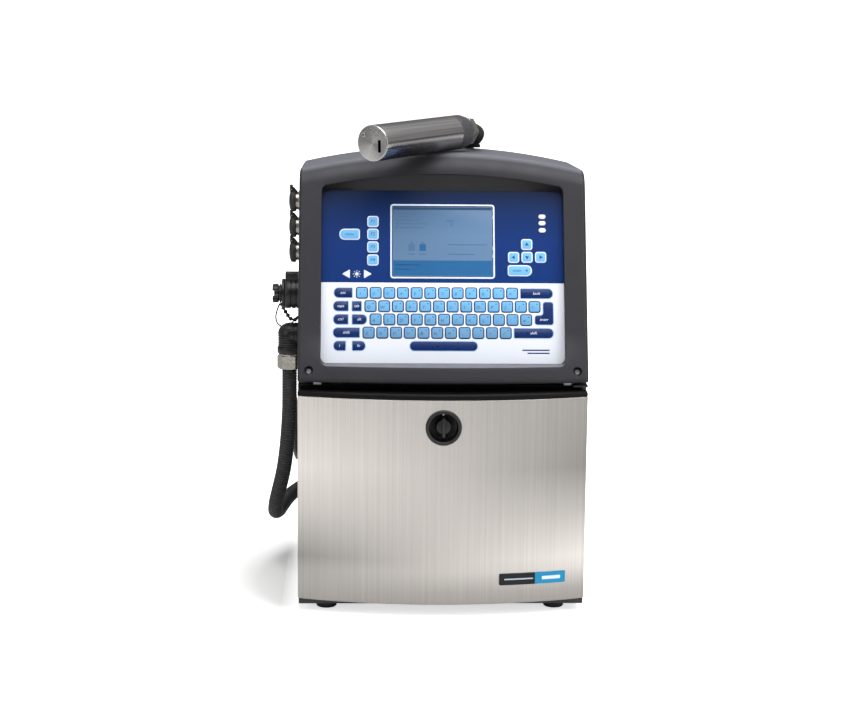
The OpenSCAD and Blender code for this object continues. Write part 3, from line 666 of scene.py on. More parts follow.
# painted light and shade: the silver film is painted lighter towards its top and darker below
silver_film = graded("panel_silver", film_low.z, film_high.z,
                     [(0.0, srgb(206, 210, 219)), (0.2, srgb(212, 216, 224)), (0.45, srgb(229, 232, 240))],
                     0.4)
key_light = graded("key_light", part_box("bottom_letter_keys")[0].z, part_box("number_keys")[1].z,
                   [(0.0, srgb(98, 142, 178)), (0.3, srgb(100, 152, 192)), (0.6, srgb(106, 164, 206)),
                    (1.0, srgb(110, 174, 222))], 0.35)
screen = graded("lcd_glass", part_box("lcd_module")[0].z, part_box("lcd_module")[1].z,
                [(0.2, srgb(97, 126, 158)), (0.6, srgb(94, 123, 155)), (1.0, srgb(76, 104, 138))], 0.2)
screen_dark = printed("lcd_dark", srgb(46, 70, 100), 0.2)
screen_faint = printed("lcd_faint", srgb(78, 108, 142), 0.2)
screen_band = printed("lcd_band", srgb(40, 94, 142), 0.2)

# ---- the console face's own frame ----

RECESS = 10.5 * MM
press = Vector(joints["space_bar_press"]["axis"]).normalized()
up_face = Vector((0, -press.z, press.y))
hood_low, hood_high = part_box("hood")
panel_front = min(press.dot(v.co) for v in nodes["keypad_panel"].data.vertices)
face_y = (panel_front - RECESS - press.z * hood_low.z) / press.y
face_origin = Vector((0, face_y, hood_low.z))
TILT = math.atan2(up_face.y, up_face.z)
# X right, Y up the face, Z outwards
face_place = Matrix(((1, 0, 0), tuple(up_face), tuple(-press))).transposed().to_4x4()
face_place.translation = face_origin


def on_face(x, s, d):
    """A point of the console face: s up the face, d into it."""
    return face_origin + Vector((x, 0, 0)) + up_face * s + press * d


def face_outlines(node):
    """The outlines of a node's pads, square on to the console face, from top left to bottom right."""
    bm = bmesh.new()
    bm.from_mesh(nodes[node].data)
    bmesh.ops.remove_doubles(bm, verts=bm.verts, dist=1e-6)
    bm.normal_update()
    front = {f for f in bm.faces if f.normal.dot(press) < -0.99}
    border = [e for e in bm.edges if sum(f in front for f in e.link_faces) == 1]
    after = {}
    for e in border:
        for v in e.verts:
            after.setdefault(v, []).append(e.other_vert(v))
    outlines, used = [], set()
    for start in after:
        if start in used:
            continue
        loop, here, last = [], start, None
        while here not in used:
            used.add(here)
            loop.append(here)
            nexts = [v for v in after[here] if v is not last and v not in used]
            if not nexts:
                break
            last, here = here, nexts[0]
        flat = [((v.co - face_origin).x, (v.co - face_origin).dot(up_face)) for v in loop]
        corners = []
        for i, p in enumerate(flat):
            a = Vector(p) - Vector(flat[i - 1])
            b = Vector(flat[(i + 1) % len(flat)]) - Vector(p)
            if abs(a.x * b.y - a.y * b.x) > 1e-9:
                corners.append(p)
        area = sum(a[0] * b[1] - b[0] * a[1] for a, b in zip(corners, corners[1:] + corners[:1]))
        outlines.append(corners if area > 0 else corners[::-1])
    bm.free()
    return sorted(outlines, key=lambda o: (-round(sum(p[1] for p in o) / len(o) / 0.004),
                                           sum(p[0] for p in o) / len(o)))


# ---- hood moulding ----

# half width, the roundings, the roof's arch and fall, the swelling chin, the notch over the cabinet's walls,
# the keypad's recess and arched opening, the wall, the mesh's steps and the two screw cups
HALF = hood_high.x
EDGE = 4 * MM
ROLL = 28 * MM
ARCH = 750 * MM
FALL = math.radians(0.8)
CHIN = 14.5 * MM * math.cos(TILT)
CHIN_ROUND = 4.2 * MM
CHIN_FULL = 21 * MM
CHIN_GONE = 60 * MM
REAR_ROUND = 6 * MM
LEDGE_Y = -124 * MM
LIP_Z = 490 * MM
NOTCH_Y = -32 * MM
PANEL_HALF = 142 * MM
PANEL_LOW = 24.8 * MM
PANEL_HIGH = 231.8 * MM
ARCH_MID = 248.6 * MM
ARCH_SIDE = 233.6 * MM
HOOD_WALL = 2.3 * MM
ACROSS = 48
UPWARDS = 30
SCREW_X = 155 * MM
SCREW_S = 14 * MM


def chin_bow(x):
    """How far the lower front swells outwards at x."""
    return CHIN * (1 - (x / HALF) ** 2)


def face_depth(x, s):
    """Depth of the hood's outer surface below the flat face; negative where the chin swells."""
    t = min(1, max(0, (s - CHIN_FULL) / (CHIN_GONE - CHIN_FULL)))
    return -chin_bow(x) * (1 - t * t * (3 - 2 * t))


def chin_start(x):
    """Where the rounding under the chin meets the face."""
    corner = -chin_bow(x) * math.tan(TILT)
    half = (math.pi / 2 - TILT) / 2
    return corner + CHIN_ROUND / math.tan(half)


def roll_centre(x):
    drop = ARCH - math.sqrt(ARCH ** 2 - x ** 2)
    z = hood_high.z - ROLL - drop
    s = (z - hood_low.z - ROLL * press.z) / up_face.z
    return s, z


def hood_profile(x, inset):
    """The side profile at x in three runs: under the chin, up the face, and over the top to the rear lip."""
    bow = chin_bow(x)
    line = on_face(x, 0, inset - bow)
    corner_y = line.y - (line.z - hood_low.z) * math.tan(TILT)
    low_points = [(LEDGE_Y, hood_low.z), (corner_y, hood_low.z),
                  (corner_y + 0.1 * math.sin(TILT), hood_low.z + 0.1 * math.cos(TILT))]
    under = rounded(low_points, CHIN_ROUND, 6, closed=False)[:-1]
    under = [Vector((x, y, z)) for y, z in under]
    s_roll, z_roll = roll_centre(x)
    s_low = chin_start(x)
    face = []
    for k in range(UPWARDS + 1):
        s = s_low + (s_roll - s_low) * (k / UPWARDS) ** 1.3
        face.append(on_face(x, s, face_depth(x, s) + inset))
    face[0] = under[-1]
    y_roll = on_face(x, s_roll, ROLL).y
    radius = ROLL - inset
    over = []
    for k in range(15):
        angle = math.radians(180) - TILT + (math.radians(90) - FALL - math.radians(180) + TILT) * k / 14
        over.append(Vector((x, y_roll + radius * math.cos(angle), z_roll + radius * math.sin(angle))))
    rear_y = hood_high.y - inset
    top_z = over[-1].z - (rear_y - over[-1].y) * math.tan(FALL)
    back = rounded([(over[-1].y, over[-1].z), (rear_y, top_z), (rear_y, LIP_Z)], REAR_ROUND - inset / 2, 6,
                   closed=False)
    middle = [over[-1].lerp(Vector((x, *back[1])), f) for f in (0.25, 0.5, 0.75)]
    over += middle + [Vector((x, *p)) for p in back[1:]]
    face[-1] = over[0]
    return under, face, over


CORNER, COUNT_X, COUNT_S = 5, 36, 24


def ring_outline(side, r, low, high):
    """An outline of (x, s) with rounded corners; low and high give its lower and upper side at x."""
    points = []
    reach = side - r
    base, top = low(reach) + r, high(reach) - r

    def arc(cx, cs, start, end, last=1):
        for k in range(CORNER + last):
            a = math.radians(start + (end - start) * k / CORNER)
            points.append((cx + r * math.cos(a), cs + r * math.sin(a)))

    arc(-reach, base, 225, 270, 0)
    for k in range(COUNT_X):
        x = -reach + 2 * reach * k / COUNT_X
        points.append((x, low(x)))
    arc(reach, base, 270, 360)
    points.extend((side, base + (top - base) * k / COUNT_S) for k in range(1, COUNT_S))
    arc(reach, top, 0, 90)
    for k in range(1, COUNT_X):
        x = reach - 2 * reach * k / COUNT_X
        points.append((x, high(x)))
    arc(-reach, top, 90, 180)
    points.extend((-side, top - (top - base) * k / COUNT_S) for k in range(1, COUNT_S))
    arc(-reach, base, 180, 225, 0)
    return points


def lip_low(x):
    """Where the bowed lower lip of the keypad's opening lies on the face."""
    return PANEL_LOW - (RECESS + chin_bow(x)) * math.tan(TILT)


def opening_outline(grow):
    """The lip of the keypad's opening: a bowed lower side, straight sides and an arched top."""
    side = PANEL_HALF - 0.6 * MM + grow
    rise = ARCH_MID - ARCH_SIDE
    arch_r = (side ** 2 + rise ** 2) / (2 * rise)
    return ring_outline(side, 8 * MM + grow, lambda x: lip_low(x) - grow,
                        lambda x: ARCH_MID + grow - (arch_r - math.sqrt(max(0, arch_r ** 2 - x ** 2))))


def flat(p):
    """A point of the console face as (x, s)."""
    return ((p - face_origin).x, (p - face_origin).dot(up_face))


def lifted(p, deeper=0.0):
    """The point of the hood's outer surface at (x, s), or one that lies deeper."""
    x, s = p
    return on_face(x, s, face_depth(x, s) + deeper)


def hood_moulding():
    form = Form()
    flat_half = HALF - EDGE
    rim = []
    for k in range(7):
        angle = math.radians(15 * k)
        rim.append((flat_half + EDGE * math.sin(angle), EDGE * (1 - math.cos(angle))))
    middle = [(-flat_half + 2 * flat_half * k / ACROSS, 0.0) for k in range(ACROSS + 1)]
    order = [(-x, e) for x, e in rim[:0:-1]] + middle + rim[1:]
    runs = [hood_profile(x, e) for x, e in order]
    first, last = len(rim) - 1, len(rim) - 1 + ACROSS
    for part in (0, 2):
        form.rows([form.loop(run[part]) for run in runs], 0, False)
    faces = [form.loop(run[1]) for run in runs]
    form.rows(faces[:first + 1], 0, False)
    form.rows(faces[last:], 0, False)
    # flat sides, with the step over the cabinet's upper walls
    for at in (0, -1):
        under, face, over = runs[at]
        x = order[at][0]
        form.face(form.loop(under + face[1:] + over[1:]
                            + [Vector((x, NOTCH_Y, LIP_Z)), Vector((x, NOTCH_Y, hood_low.z))]))
    # the front face between its border, the keypad's opening and the screw cups
    exact = [runs[i][1][0] for i in range(first, last + 1)] + runs[last][1][1:]
    exact += [runs[i][1][-1] for i in range(last - 1, first - 1, -1)] + runs[first][1][-2:0:-1]
    border = [flat(p) for p in exact]
    lip = 1.3 * MM
    outer = opening_outline(lip)
    cups = [circle(5.5 * MM, 32, x, SCREW_S) for x in (-SCREW_X, SCREW_X)]
    extra = []
    for x, _ in middle[1:-1]:
        if abs(x) < PANEL_HALF - 8 * MM:
            low, high = chin_start(x), lip_low(x) - lip
            extra += [(x, low + (high - low) * f) for f in (0.33, 0.66)]
    for side in (-1, 1):
        grid = [(side * (147.5 + 5.5 * k) * MM, (8 + 5 * row) * MM) for k in range(3) for row in range(12)]
        extra += [p for p in grid if (Vector(p) - Vector((side * SCREW_X, SCREW_S))).length > 7.2 * MM]
    found, faces_2d, where = triangulated([border, outer] + cups, extra)
    index = form.loop([lifted(p) for p in found])
    # the border takes the exact points of the strips around it
    for i, p in enumerate(exact):
        form.points[index[where[i]]] = p.copy()
    for f in faces_2d:
        form.face([index[i] for i in f])
    start = len(border)
    rows = [[index[where[start + i]] for i in range(len(outer))]]
    rows.append(form.loop([lifted(p, lip * 0.29) for p in opening_outline(lip * 0.29)]))
    inner = [lifted(p, lip) for p in opening_outline(0.0)]
    rows.append(form.loop(inner))
    panel = ring_outline(PANEL_HALF, 7.5 * MM, lambda x: PANEL_LOW, lambda x: PANEL_HIGH)
    for f in (0.35, 0.7, 1.0):
        rows.append(form.loop([a.lerp(on_face(*b, RECESS), f) for a, b in zip(inner, panel)]))
    rows.append(form.loop([on_face(*p, RECESS + 2.2 * MM) for p in panel]))
    form.rows(rows)
    # screw cups: a rounded mouth, a wall, a floor and the hole for the screw, painted near black inside as the
    # shade in them
    start += len(outer)
    for x in (-SCREW_X, SCREW_X):
        rows = [[index[where[start + i]] for i in range(32)]]
        start += 32
        top = face_depth(x, SCREW_S) / MM
        for r, d in ((5.15, top + 0.15), (5.0, top + 0.6), (4.95, 6.0), (2.2, 6.2), (2.2, 8.0)):
            rows.append(form.loop([on_face(*p, d * MM) for p in circle(r * MM, 32, x, SCREW_S)]))
        form.rows(rows)
        # painted shade: the hood's colour turns near black inside the cup
        painted_cup_shade = charcoal_surface.near(on_face(x, SCREW_S, 5.6 * MM), 7.2 * MM)
        charcoal_surface.blacken(painted_cup_shade, srgb(10, 10, 11))
    mesh = form.mesh("hood_moulding", 38)
    if max(mesh.polygons, key=lambda p: p.center.z).normal.z < 0:
        mesh.flip_normals()
    hood = piece(mesh, "hood_moulding", "hood", charcoal, ["hood"])
    wall = hood.modifiers.new("wall", "SOLIDIFY")
    wall.thickness = HOOD_WALL
    wall.offset = -1
    wall.use_even_offset = False
    weigh_normals(hood)


hood_moulding()


def hood_knuckles():
    """Knuckles that carry the hood on the cabinet's pins."""
    form = Form()
    hinge = Vector(joints["hood_hinge"]["pos_m"])
    roof = max(p.z for p in hood_profile(160 * MM, HOOD_WALL)[2] if p.y > hinge.y)
    for x in (-158 * MM, 146 * MM):
        form.place = axis_matrix((x, hinge.y, hinge.z), (1, 0, 0))
        form.ring([(3.1, 0), (5, 0), (5, 12), (3.1, 12)], 24)
        form.place = Matrix.Translation((x, hinge.y, hinge.z))
        form.slab(mm(oblong(0, 12, -2, 3.2, 0.5)), 4 * MM, roof - hinge.z)
    piece(form, "hood_knuckles", "hood", charcoal)


hood_knuckles()

# ---- door ----

DOOR_BOW = 26.7 * MM
DOOR_R = (door_high.x ** 2 + DOOR_BOW ** 2) / (2 * DOOR_BOW)
latch_z = joints["latch_turn"]["pos_m"][2]


def door_y(x, t=0.0):
    """Forward position at x of the door's bowed skin, or t inside it."""
    return door_low.y + DOOR_R - math.sqrt((DOOR_R - t) ** 2 - x ** 2)


def door_plan(t, round_r, back):
    """The door's plan, t inside its skin."""
    half = door_high.x - t
    count = 48
    xs = [-half + 2 * half * k / count for k in range(count + 1)]
    points = [(x, door_y(x, t)) for x in xs] + [(half, back - t), (-half, back - t)]
    radii = [round_r] + [0] * (count - 1) + [round_r, 0.6 * MM, 0.6 * MM]
    return rounded(points, radii, 5)


def door_form(low_z, high_z, low_r, high_r, round_r, back):
    """The door's plan between two heights, with its lower and upper edge rounded."""
    rows = []
    for k in range(5):
        a = math.radians(22.5 * k)
        rows.append((low_r * (1 - math.sin(a)), low_z + low_r * (1 - math.cos(a))))
    for k in range(6):
        a = math.radians(18 * k)
        rows.append((high_r * (1 - math.cos(a)), high_z - high_r * (1 - math.sin(a))))
    form = Form()
    form.capped([form.level(door_plan(t, max(0.3 * MM, round_r - t), back), z) for t, z in rows])
    return form


def door():
    form = door_form(door_low.z, door_high.z, 1.4 * MM, 1.2 * MM, 2.4 * MM, door_high.y)
    skin = piece(form, "door_skin", "door", door_steel, ["door_panel"])
    hole = Form(axis_matrix((0, door_low.y - 4 * MM, latch_z), (0, 1, 0)))
    hole.turned([(20.6, 0), (20.6, 26)], 64)
    carve(skin, hole)
    weigh_normals(skin)

    low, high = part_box("door_trim")
    form = door_form(low.z + 0.4 * MM, high.z, 0.6 * MM, 4.2 * MM, 2.6 * MM, high.y)
    piece(form, "door_trim_profile", "door", trim_black, ["door_trim"], 40)

    # a foam seal with a crowned face
    low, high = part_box("door_seal")
    form = Form()
    rows = []
    for inset, y in mm(((0, 0), (0, 2.6), (1.2, 3.7), (3.5, 4.0), (5.8, 3.7), (7, 2.6), (7, 0))):
        outline = oblong(low.x + inset, high.x - inset, low.z + inset, high.z - inset, 9 * MM - inset, 6)
        rows.append(form.loop([(x, low.y + min(y, high.y - low.y), z) for x, z in outline]))
    form.rows(rows + rows[:1])
    piece(form, "door_seal_foam", "door", seal_foam, ["door_seal"], 50)


door()


def latch():
    face = axis_matrix((0, door_low.y, latch_z), (0, -1, 0), (1, 0, 0))
    form = Form(face)
    form.turned([(0, -10.6), (15.6, -10.6), (16.3, -9.8), (16.5, 0.6), (16.9, 1.6), (17.6, 2.1), (18.6, 2.2),
                 (19.9, 1.9), (20.6, 1.1), (20.85, 0), (20.85, -3), (20.55, -3.2), (20.55, -16.8),
                 (0, -16.8)], 72)
    piece(form, "latch_cup_ring", "door", black_plastic, ["latch_cup"], 50)
    form = Form(face)
    form.turned([(0, -2.2), (6.6, -2.2), (8.0, -2.5), (8.7, -3.4), (8.75, -10.3), (7, -10.3), (5, -10.4),
                 (5, -38), (0, -38)], 48)
    form.slab(mm(oblong(-2, 2, -11.2, 11.2, 1.6, 6)), -8 * MM, 2 * MM, 0, 0.9 * MM)
    # ribs for the fingers on either side of the blade
    for side in (-1, 1):
        for y in (-6, -3, 0, 3, 6):
            form.place = face @ Matrix.Translation((side * 2.0 * MM, y * MM, -1.6 * MM))
            form.turned([(0.5, -3), (0.5, 2.4), (0, 2.8)], 10)
    piece(form, "latch_knob_blade", "latch", black_plastic, ["latch_knob"], 45)
    dot = Form(face)
    dot.slab(circle(1.35 * MM, 24, 0, 13.6 * MM), -10.7 * MM, -10.3 * MM, 0, 0.1 * MM)
    piece(dot, "latch_pointer", "door", white_ink)


latch()


def badge():
    low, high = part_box("badge")
    split = low.x + 0.57 * (high.x - low.x)
    form = Form()

    def plate(x0, x1, z0, z1, bottom, top, paint, r, bevel):
        """A plate that follows the door's bow; paint 0 turns into 1 beyond the split."""
        ends = [r * (1 - math.cos(math.radians(15 * k))) for k in range(6)]
        count = 24
        stations = [x0 + e for e in ends]
        stations += [x0 + r + (x1 - x0 - 2 * r) * k / count for k in range(count + 1)]
        stations += [x1 - e for e in ends[::-1]]
        rows = []
        for x in stations:
            near = max(0, r - (x - x0), r - (x1 - x))
            inset = r - math.sqrt(max(0, r * r - near * near))
            a, b = z0 + inset, z1 - inset
            section = ((a, bottom), (a, top - bevel), (a + bevel, top), (b - bevel, top), (b, top - bevel),
                       (b, bottom))
            rows.append(form.loop([(x, door_y(x) - h, z) for z, h in section]))
        for i, (p, q) in enumerate(zip(rows, rows[1:])):
            form.bridge(p, q, paint if stations[i + 1] <= split or paint > 1 else paint + 1)
        form.face(rows[0], paint)
        form.face(rows[-1], paint if paint > 1 else paint + 1)

    plate(low.x, high.x, low.z, high.z, -0.2 * MM, 0.8 * MM, 0, 1.4 * MM, 0.25 * MM)
    # a plain bar stands in each half, where a maker would put a name
    wide = split - low.x
    z = low.z + 7 * MM
    bar = (0.7 * MM, 0.86 * MM)
    plate(low.x + wide * 0.14, low.x + wide * 0.9, z - 0.8 * MM, z + 0.8 * MM, *bar, 2, 0.5 * MM, 0.03 * MM)
    plate(split + 6 * MM, high.x - 6 * MM, low.z + 5 * MM, high.z - 5 * MM, *bar, 3, 0.8 * MM, 0.03 * MM)
    piece(form, "badge_plate", "door", [badge_black, badge_blue, badge_grey, white_ink], ["badge"],
          40)


badge()

# ---- keypad ----

PANEL_TOP = -RECESS
INK = (PANEL_TOP + 0.6 * MM, PANEL_TOP + 0.68 * MM)
glyphs = {}


def lettering(text, size):
    """A short legend as a thin closed solid about the origin."""
    key = (text, size)
    if key not in glyphs:
        curve = bpy.data.curves.new("legend", "FONT")
        curve.body = text
        curve.size = size
        curve.align_x = "CENTER"
        curve.align_y = "CENTER"
        curve.resolution_u = 3
        curve.extrude = 0.04 * MM
        obj = linked("legend", curve)
        graph = bpy.context.evaluated_depsgraph_get()
        mesh = bpy.data.meshes.new_from_object(obj.evaluated_get(graph))
        glyphs[key] = ([tuple(v.co) for v in mesh.vertices], [tuple(p.vertices) for p in mesh.polygons])
        bpy.data.objects.remove(obj)
        bpy.data.meshes.remove(mesh)
        bpy.data.curves.remove(curve)
    return glyphs[key]


def extent(outline):
    """The middle of an outline, and its width and height."""
    xs = [p[0] for p in outline]
    ss = [p[1] for p in outline]
    return (min(xs) + max(xs)) / 2, (min(ss) + max(ss)) / 2, max(xs) - min(xs), max(ss) - min(ss)


def rounded_key(outline, low_r=2.8 * MM):
    """A pad's outline with small corners, and half-round ends where the row ends."""
    if len(outline) != 4:
        return rounded(outline, 3.2 * MM, 5)
    x, _, wide, tall = extent(outline)
    left, right = x - wide / 2, x + wide / 2
    left_end = left < -119 * MM or wide > 70 * MM
    right_end = right > 127.9 * MM or wide > 70 * MM or -91 * MM < right < -88 * MM
    right_end = right_end or (tall < 13 * MM and wide > 26 * MM and 100 * MM < right < 106 * MM)
    radii = [0.46 * tall if (left_end if p[0] < x else right_end) else low_r for p in outline]
    return rounded(outline, radii, 5)


def key_pad(form, outline, rim, cap, halo=None):
    """An embossed key: a printed rim, and a cap with a soft edge that stands above it."""
    reach, skirt = (0.55, 0.35) if halo else (0.35, 0.1)
    layers = ((-reach, -0.3, 0.12, halo or rim, 0.05), (skirt, 0, 0.3, rim, 0.1),
              (0.95, 0.2, 0.62, cap, 0.28))
    for inset, low, high, paint, bevel in layers:
        form.slab(inset_outline(outline, inset * MM), PANEL_TOP + low * MM, PANEL_TOP + high * MM, paint,
                  bevel * MM)


def legend(form, text, x, s, size, paint, slant=0.15):
    lean = Matrix(((1, slant, 0, 0), (0, 1, 0, 0), (0, 0, 1, 0), (0, 0, 0, 1)))
    place = Matrix.Translation((x, s, PANEL_TOP + 0.64 * MM))
    form.stamp(lettering(text, size * MM), place @ lean, paint)


def arrowhead(x, s, size, angle):
    turns = [math.radians(angle + 120 * k) for k in range(3)]
    return [(x + size * math.cos(a), s + size * math.sin(a)) for a in turns]


LIGHT_ROWS = {
    "number_keys": "1234567890-=",
    "top_letter_keys": "QWERTYUIOP[]\\",
    "home_letter_keys": "ASDFGHJKL;'#",
    "bottom_letter_keys": "ZXCVBNM,./?",
}
# the dark keys' words by height up the face: in the outer column, and further right
CONTROL_WORDS = ((100, "esc", "back"), (85, "caps", "tab"), (70, "ctrl", "alt"), (55, "shift", "shift"),
                 (0, "i", "fn"))


def key_rows():
    for node, letters in LIGHT_ROWS.items():
        form = Form(face_place)
        outlines = sorted(face_outlines(node), key=lambda o: extent(o)[0])
        for outline, letter in zip(outlines, letters):
            key_pad(form, rounded_key(outline), 0, 1)
            x, s = extent(outline)[:2]
            legend(form, letter, x - 2.1 * MM, s - 1.2 * MM, 4.9, 2, 0.25)
            form.slab(oblong(x + 2.2 * MM, x + 3.8 * MM, s + 2.6 * MM, s + 3.6 * MM), *INK, 2)
        piece(form, node.replace("_keys", "_pads"), node, [key_navy, key_light, navy_ink], [node],
              50)

    form = Form(face_place)
    for outline in face_outlines("space_bar"):
        key_pad(form, rounded_key(outline, 1.0 * MM), 0, 1, 2)
    piece(form, "space_pad", "space_bar", [key_navy, key_navy, key_halo], ["space_bar"], 50)

    form = Form(face_place)
    for outline in face_outlines("control_keys"):
        x, s = extent(outline)[:2]
        key_pad(form, rounded_key(outline, 1.0 * MM), 0, 1, 2)
        if len(outline) != 4:
            legend(form, "enter", x, s - 7.5 * MM, 4.6, 3)
            continue
        _, outer, inner = next(row for row in CONTROL_WORDS if s > row[0] * MM)
        legend(form, outer if x < -110 * MM else inner, x, s, 4.6, 3)
    piece(form, "control_pads", "control_keys", [key_navy, key_navy, key_halo, white_ink], ["control_keys"],
          50)

    form = Form(face_place)
    number = 1
    for outline in face_outlines("function_keys"):
        x, s, wide, _ = extent(outline)
        if wide < 11 * MM:
            # contrast keys are arrowheads that point away from the sun between them
            head = arrowhead(x, s, 6.2 * MM, 180 if x < -100 * MM else 0)
            form.slab(rounded(head, 0.6 * MM, 3), PANEL_TOP - 0.3 * MM, PANEL_TOP + 0.6 * MM, 0, 0.25 * MM)
            continue
        key_pad(form, rounded_key(outline), 0, 1)
        if wide > 20 * MM:
            legend(form, "menu", x, s, 4.6, 2)
        else:
            legend(form, "F%d" % number, x, s, 5.4, 2)
            number += 1
    piece(form, "function_pads", "function_keys", [white_ink, key_light, navy_ink], ["function_keys"],
          50)

    form = Form(face_place)
    for outline in face_outlines("cursor_keys"):
        x, s, wide, _ = extent(outline)
        key_pad(form, rounded_key(outline), 0, 1)
        if wide > 20 * MM:
            legend(form, "enter", x - 3 * MM, s, 4.6, 2)
            form.slab(arrowhead(x + 8 * MM, s, 1.8 * MM, 180), *INK, 2)
            continue
        angle = 90 if s > 160 * MM else 180 if x < 90 * MM else 0 if x > 107 * MM else 270
        form.slab(arrowhead(x, s, 2.7 * MM, angle), *INK, 2)
    piece(form, "cursor_pads", "cursor_keys", [white_ink, key_light, navy_ink], ["cursor_keys"],
          50)


key_rows()

module = [flat(v.co) for v in nodes["lcd_module"].data.vertices]
window_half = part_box("lcd_module")[1].x + 0.4 * MM
window_low = min(s for _, s in module) - 0.4 * MM
window_high = max(s for _, s in module) + 0.4 * MM


def film():
    """The printed film with its window, blue above and silver below."""
    side = PANEL_HALF - 0.2 * MM
    change = 120.6 * MM
    border = oblong(-side, side, PANEL_LOW + 0.2 * MM, PANEL_HIGH - 0.2 * MM, 7.5 * MM, 8)
    hole = oblong(-window_half, window_half, window_low, window_high, 1.5 * MM, 5)
    # the border also has a point on either side where the print changes colour
    split = []
    for a, b in zip(border, border[1:] + border[:1]):
        split.append(a)
        if (a[1] - change) * (b[1] - change) < 0:
            t = (change - a[1]) / (b[1] - a[1])
            split.append((a[0] + (b[0] - a[0]) * t, change))
    line = [(k / 20 * 2 * side - side, change) for k in range(1, 20)]
    found, faces, where = triangulated([split, hole], line)
    form = Form(face_place)
    top = form.level(found, PANEL_TOP)
    bottom = form.level(found, PANEL_TOP - 1.9 * MM)
    for f in faces:
        paint = 0 if sum(found[i].y for i in f) / 3 > change else 1
        form.face([top[i] for i in f], paint)
        form.face([bottom[i] for i in f][::-1], paint)
    start = 0
    for loop in (split, hole):
        ring = [where[start + i] for i in range(len(loop))]
        start += len(loop)
        form.bridge([bottom[i] for i in ring], [top[i] for i in ring], 0)
    piece(form, "keypad_film", "hood", [panel_blue, silver_film], ["keypad_panel"], 40)


def lcd():
    """Glass with a title line, faint text lines, two cartridge marks and a printhead mark."""
    form = Form(face_place)
    glass = PANEL_TOP - 0.45 * MM
    inset = 0.3 * MM
    half = window_half - inset
    edge = oblong(-half, half, window_low + inset, window_high - inset, 1.2 * MM, 5)
    form.slab(edge, glass - 9 * MM, glass, 0, 0.2 * MM)
    top, low, right = window_high / MM - 1, window_low / MM + 1, window_half / MM - 1
    left = -right
    marks = [(left, right, top - 3.4, top - 0.3, 1)]
    for k, wide in enumerate((26, 30, 22, 34, 28)):
        s = top - 7.6 - 4.6 * k
        marks += [(left + 3, left + 5.6, s, s + 2.2, 3), (left + 8, left + 8 + wide, s + 0.4, s + 1.6, 3)]
    marks += [(4, 14, top - 18, top - 15.5, 3, 0.8), (9, 12, top - 23, top - 18.2, 3)]
    for x, paint in ((left + 18, 3), (left + 31, 2)):
        marks += [(x, x + 7.5, low + 30, low + 38, paint, 0.8), (x + 2, x + 5.5, low + 38, low + 40.4, 3),
                  (x - 0.5, x + 8, low + 25.5, low + 26.7, 3)]
    marks += [(6, right - 6, low + 37, low + 38.2, 3), (6, right - 20, low + 25.5, low + 26.7, 3),
              (left, right, low + 0.3, low + 18.5, 2), (left + 3, left + 32, low + 12.2, low + 13.4, 1),
              (left + 3, left + 22, low + 7.2, low + 8.4, 1)]
    for x0, x1, s0, s1, paint, *r in marks:
        mark = mm(oblong(x0, x1, s0, s1, r[0] if r else 0, 5))
        form.slab(mark, glass - 0.02 * MM, glass + 0.05 * MM, paint)
    piece(form, "lcd_screen", "hood", [screen, screen_dark, screen_band, screen_faint], ["lcd_module"],
          40)


def panel_prints():
    form = Form(face_place)
    # white frame round the window
    grow = 2.2 * MM
    outer = oblong(-window_half - grow, window_half + grow, window_low - grow, window_high + grow,
                   3.6 * MM, 5)
    rows = [form.level(inset_outline(outer, inset * MM), PANEL_TOP + h * MM) for inset, h in
            ((0, -0.1), (0, 0.05), (0.1, 0.1), (1.7, 0.1), (1.8, 0.05), (1.8, -0.1))]
    form.rows(rows + rows[:1])
    # the sun between the contrast keys
    thin = (PANEL_TOP - 0.1 * MM, PANEL_TOP + 0.1 * MM)
    sun = Vector((-100.2 * MM, 130.8 * MM))
    form.slab(circle(2.0 * MM, 24, *sun), *thin)
    for k in range(8):
        along = Vector((math.cos(k * math.pi / 4), math.sin(k * math.pi / 4)))
        across = Vector((-along.y, along.x)) * 0.35 * MM
        near, far = sun + along * 2.9 * MM, sun + along * 4.6 * MM
        form.slab([tuple(p) for p in (near - across, far - across, far + across, near + across)], *thin)
    piece(form, "panel_white_print", "hood", white_ink)

    # two plain stripes stand where a maker would put a name
    form = Form(face_place)
    for x0, s in ((92, 40.2), (98, 36.6)):
        form.slab(mm(oblong(x0, 124, s, s + 1.5, 0.6, 5)), PANEL_TOP - 0.1 * MM, PANEL_TOP + 0.06 * MM)
    piece(form, "panel_stripe", "hood", key_navy)

    form = Form(face_place)
    for outline in face_outlines("status_lamps"):
        x, s = extent(outline)[:2]
        pill = oblong(x - 4.2 * MM, x + 4.2 * MM, s - 2.65 * MM, s + 2.65 * MM, 2.64 * MM, 8)
        form.slab(inset_outline(pill, -0.5 * MM), PANEL_TOP - 0.3 * MM, PANEL_TOP + 0.1 * MM, 1, 0.05 * MM)
        form.slab(pill, PANEL_TOP, PANEL_TOP + 0.5 * MM, 0, 0.35 * MM)
    piece(form, "status_lenses", "hood", [white_plastic, key_navy], ["status_lamps"], 50)


film()
lcd()
panel_prints()

# ---- left-hand fittings ----

WALL_X = shell_low.x
FITTING_Y = joints["network_cap_turn"]["pos_m"][1]
CAP_DROP = 14.3 * MM
OUTWARD = (-1, 0, 0)
SOCKETS = ("top", "middle", "bottom")


